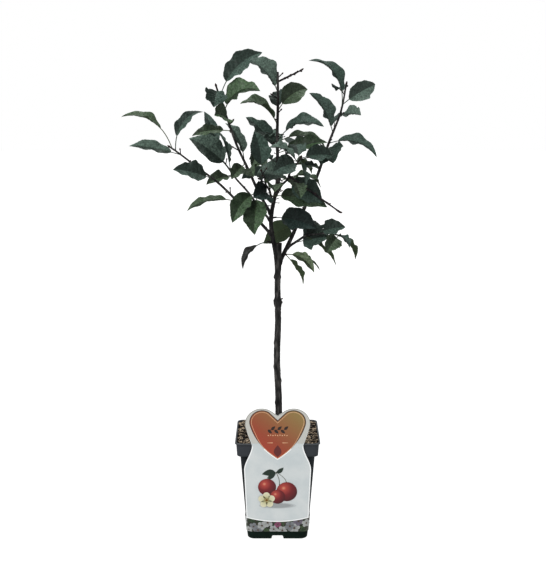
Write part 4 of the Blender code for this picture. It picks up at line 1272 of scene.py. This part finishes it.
sleeve = {"foot": 0.019, "top": 0.0535, "margin": 0.0004, "thick": 0.0008, "layer": 0.00007, "seed": 12,
          "leaves": 210, "leafLength": (0.010, 0.018), "leafBreadth": (0.004, 0.008),
          "flowers": 46, "flowersFrom": (0.08, 0.95), "size": (0.0070, 0.0125),
          "pinkEvery": 12, "pinkFrom": 5,
          "flowerTones": ("white", "white", "mist", "lilac"), "leafTones": ("green", "moss"), "eye": 0.2,
          "ground": (90, 4, ((0.3, (0.010, 0.008, 0.008)), (0.5, (0.026, 0.034, 0.016)),
                             (0.7, (0.070, 0.044, 0.042)))),
          "tones": {"white": (0.295, 0.305, 0.30), "mist": (0.17, 0.18, 0.19),
                    "lilac": (0.14, 0.125, 0.155), "pink": (0.20, 0.065, 0.12),
                    "green": (0.016, 0.038, 0.016), "moss": (0.042, 0.072, 0.032),
                    "eye": (0.085, 0.060, 0.045)}}
sleeveStraight = 2 * (pot["baseHalf"] - pot["corner"])
sleeveArc = pot["corner"] * math.pi / 2


def onSleeve(along, height, layer):
    # along is a distance round the band from the left end of its front
    height = max(sleeve["foot"] + sleeve["margin"], min(sleeve["top"] - sleeve["margin"], height))
    out = gap + sleeve["thick"] + layer * sleeve["layer"]
    half = potHalf(height) + out
    radius = pot["corner"] + out
    quarter, rest = divmod(along, sleeveStraight + sleeveArc)
    turn = Matrix.Rotation(math.tau * (quarter % 4) / 4, 3, "Z")
    if rest < sleeveStraight:
        return turn @ Vector(((rest / sleeveStraight * 2 - 1) * (half - radius), -half, height))
    angle = (rest - sleeveStraight) / sleeveArc * math.pi / 2 - math.pi / 2
    return turn @ Vector((half - radius + radius * math.cos(angle),
                          -half + radius + radius * math.sin(angle), height))


def makeSleeve():
    chance = random.Random(sleeve["seed"])
    foot, top = sleeve["foot"], sleeve["top"]
    face = gap + sleeve["thick"]
    band = Heap()
    band.addGrid([roundedSquare(potHalf(height) + out, height, pot["corner"] + out)
                  for height, out in ((foot, gap), (foot, face), (top, face), (top, gap))], closed=True)
    ground = finish("sleeve_ground", (0.04, 0.035, 0.03), mottled=sleeve["ground"], **lacquer)
    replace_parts(band.piece("sleeve_band", ground, "sleeve_print", smooth=False), "label_sleeve")
    length = 4 * (sleeveStraight + sleeveArc)
    heaps = {name: Heap() for name in sleeve["tones"]}
    for k in range(sleeve["leaves"]):
        at = (length * (k + chance.uniform(-0.4, 0.4)) / sleeve["leaves"], chance.uniform(foot, top))
        printedLeaf(heaps[chance.choice(sleeve["leafTones"])], at, chance.uniform(0, math.tau),
                    chance.uniform(*sleeve["leafLength"]), chance.uniform(*sleeve["leafBreadth"]),
                    onSleeve, 1 + k % 3)
    for k in range(sleeve["flowers"]):
        at = (length * (k + chance.uniform(-0.3, 0.3)) / sleeve["flowers"],
              mix(foot, top, chance.uniform(*sleeve["flowersFrom"])))
        pink = k % sleeve["pinkEvery"] == sleeve["pinkFrom"]
        tone = "pink" if pink else chance.choice(sleeve["flowerTones"])
        layer = 4 + k % 4
        size = chance.uniform(*sleeve["size"])
        blossom(heaps[tone], at, size, chance.uniform(0, math.tau), onSleeve, layer)
        heaps["eye"].addFan([onSleeve(u, w, layer + 4) for u, w in circle(*at, size * sleeve["eye"], 10)],
                            onSleeve(*at, layer + 4))
    for name, heap in heaps.items():
        skin = finish("sleeve_" + name, sleeve["tones"][name], **lacquer)
        heap.piece("sleeve_" + name, skin, "sleeve_print", smooth=False)
    print("sleeve done:", sum(len(heap.faces) for heap in heaps.values()), "printed faces")


# Studio

studio = {"cameraAt": (-0.010, -2.2, 0.9), "pitch": 81.12, "lens": 63.51, "sensor": 36,
          "sky": 1.0, "gamma": 0.78, "floor": 0.08, "glow": 0.98, "floorReach": 40, "floorLevel": -0.0002,
          # each light: where it stands, what it points at, side in metres, watts
          "lights": {"key_light": ((-1.6, -2.2, 2.6), (0, 0, 0.6), 1.3, 70),
                     "fill_light": ((2.2, -1.6, 1.2), (0, 0, 0.5), 1.6, 8),
                     "top_light": ((0.2, 0.7, 3.0), (0, 0, 0.5), 1.8, 26)}}


def makeStudio():
    world = bpy.data.worlds.new("studio_world")
    world.use_nodes = True
    sky = world.node_tree.nodes["Background"]
    sky.inputs["Color"].default_value = (1.0, 1.0, 1.0, 1.0)
    sky.inputs["Strength"].default_value = studio["sky"]
    bpy.context.scene.world = world
    bpy.context.scene.view_settings.view_transform = "Standard"
    bpy.context.scene.view_settings.gamma = studio["gamma"]
    for name, (at, aim, side, power) in studio["lights"].items():
        data = bpy.data.lights.new(name, "AREA")
        data.shape = "RECTANGLE"
        data.size = side
        data.size_y = side
        data.energy = power
        light = addObject(name, data)
        light.location = at
        light.rotation_euler = (Vector(aim) - Vector(at)).to_track_quat("-Z", "Y").to_euler()
    level = studio["floorLevel"]
    floor = Heap()
    floor.addFan([Vector((x, y, level)) for x, y in circle(0, 0, studio["floorReach"], 64)],
                 Vector((0, 0, level)))
    mesh = bpy.data.meshes.new("studio_floor")
    mesh.from_pydata(floor.points, [], floor.faces)
    mesh.materials.append(finish("studio_floor", [studio["floor"]] * 3, roughness=0.7, specular=0.2,
                                 embossed=(60, 2, 0.02, 0.001), Emission_Color=(1.0, 1.0, 1.0, 1.0),
                                 Emission_Strength=studio["glow"]))
    addObject("studio_floor", mesh)
    data = bpy.data.cameras.new("photo_camera")
    data.lens = studio["lens"]
    data.sensor_width = studio["sensor"]
    camera = addObject("photo_camera", data)
    camera.location = studio["cameraAt"]
    camera.rotation_euler = (math.radians(studio["pitch"]), 0, 0)
    bpy.context.scene.camera = camera
    print("studio done")


makeStudio()
limbs = growLimbs()
barks = {name: finish(name, **skin) for name, skin in barkSkins.items()}
makeTrunk(limbs, barks)
makeBoughs(limbs, barks)
makeFoliage(limbs, barks)
makePot()
makeMulch()
makeCard()
makeSleeve()
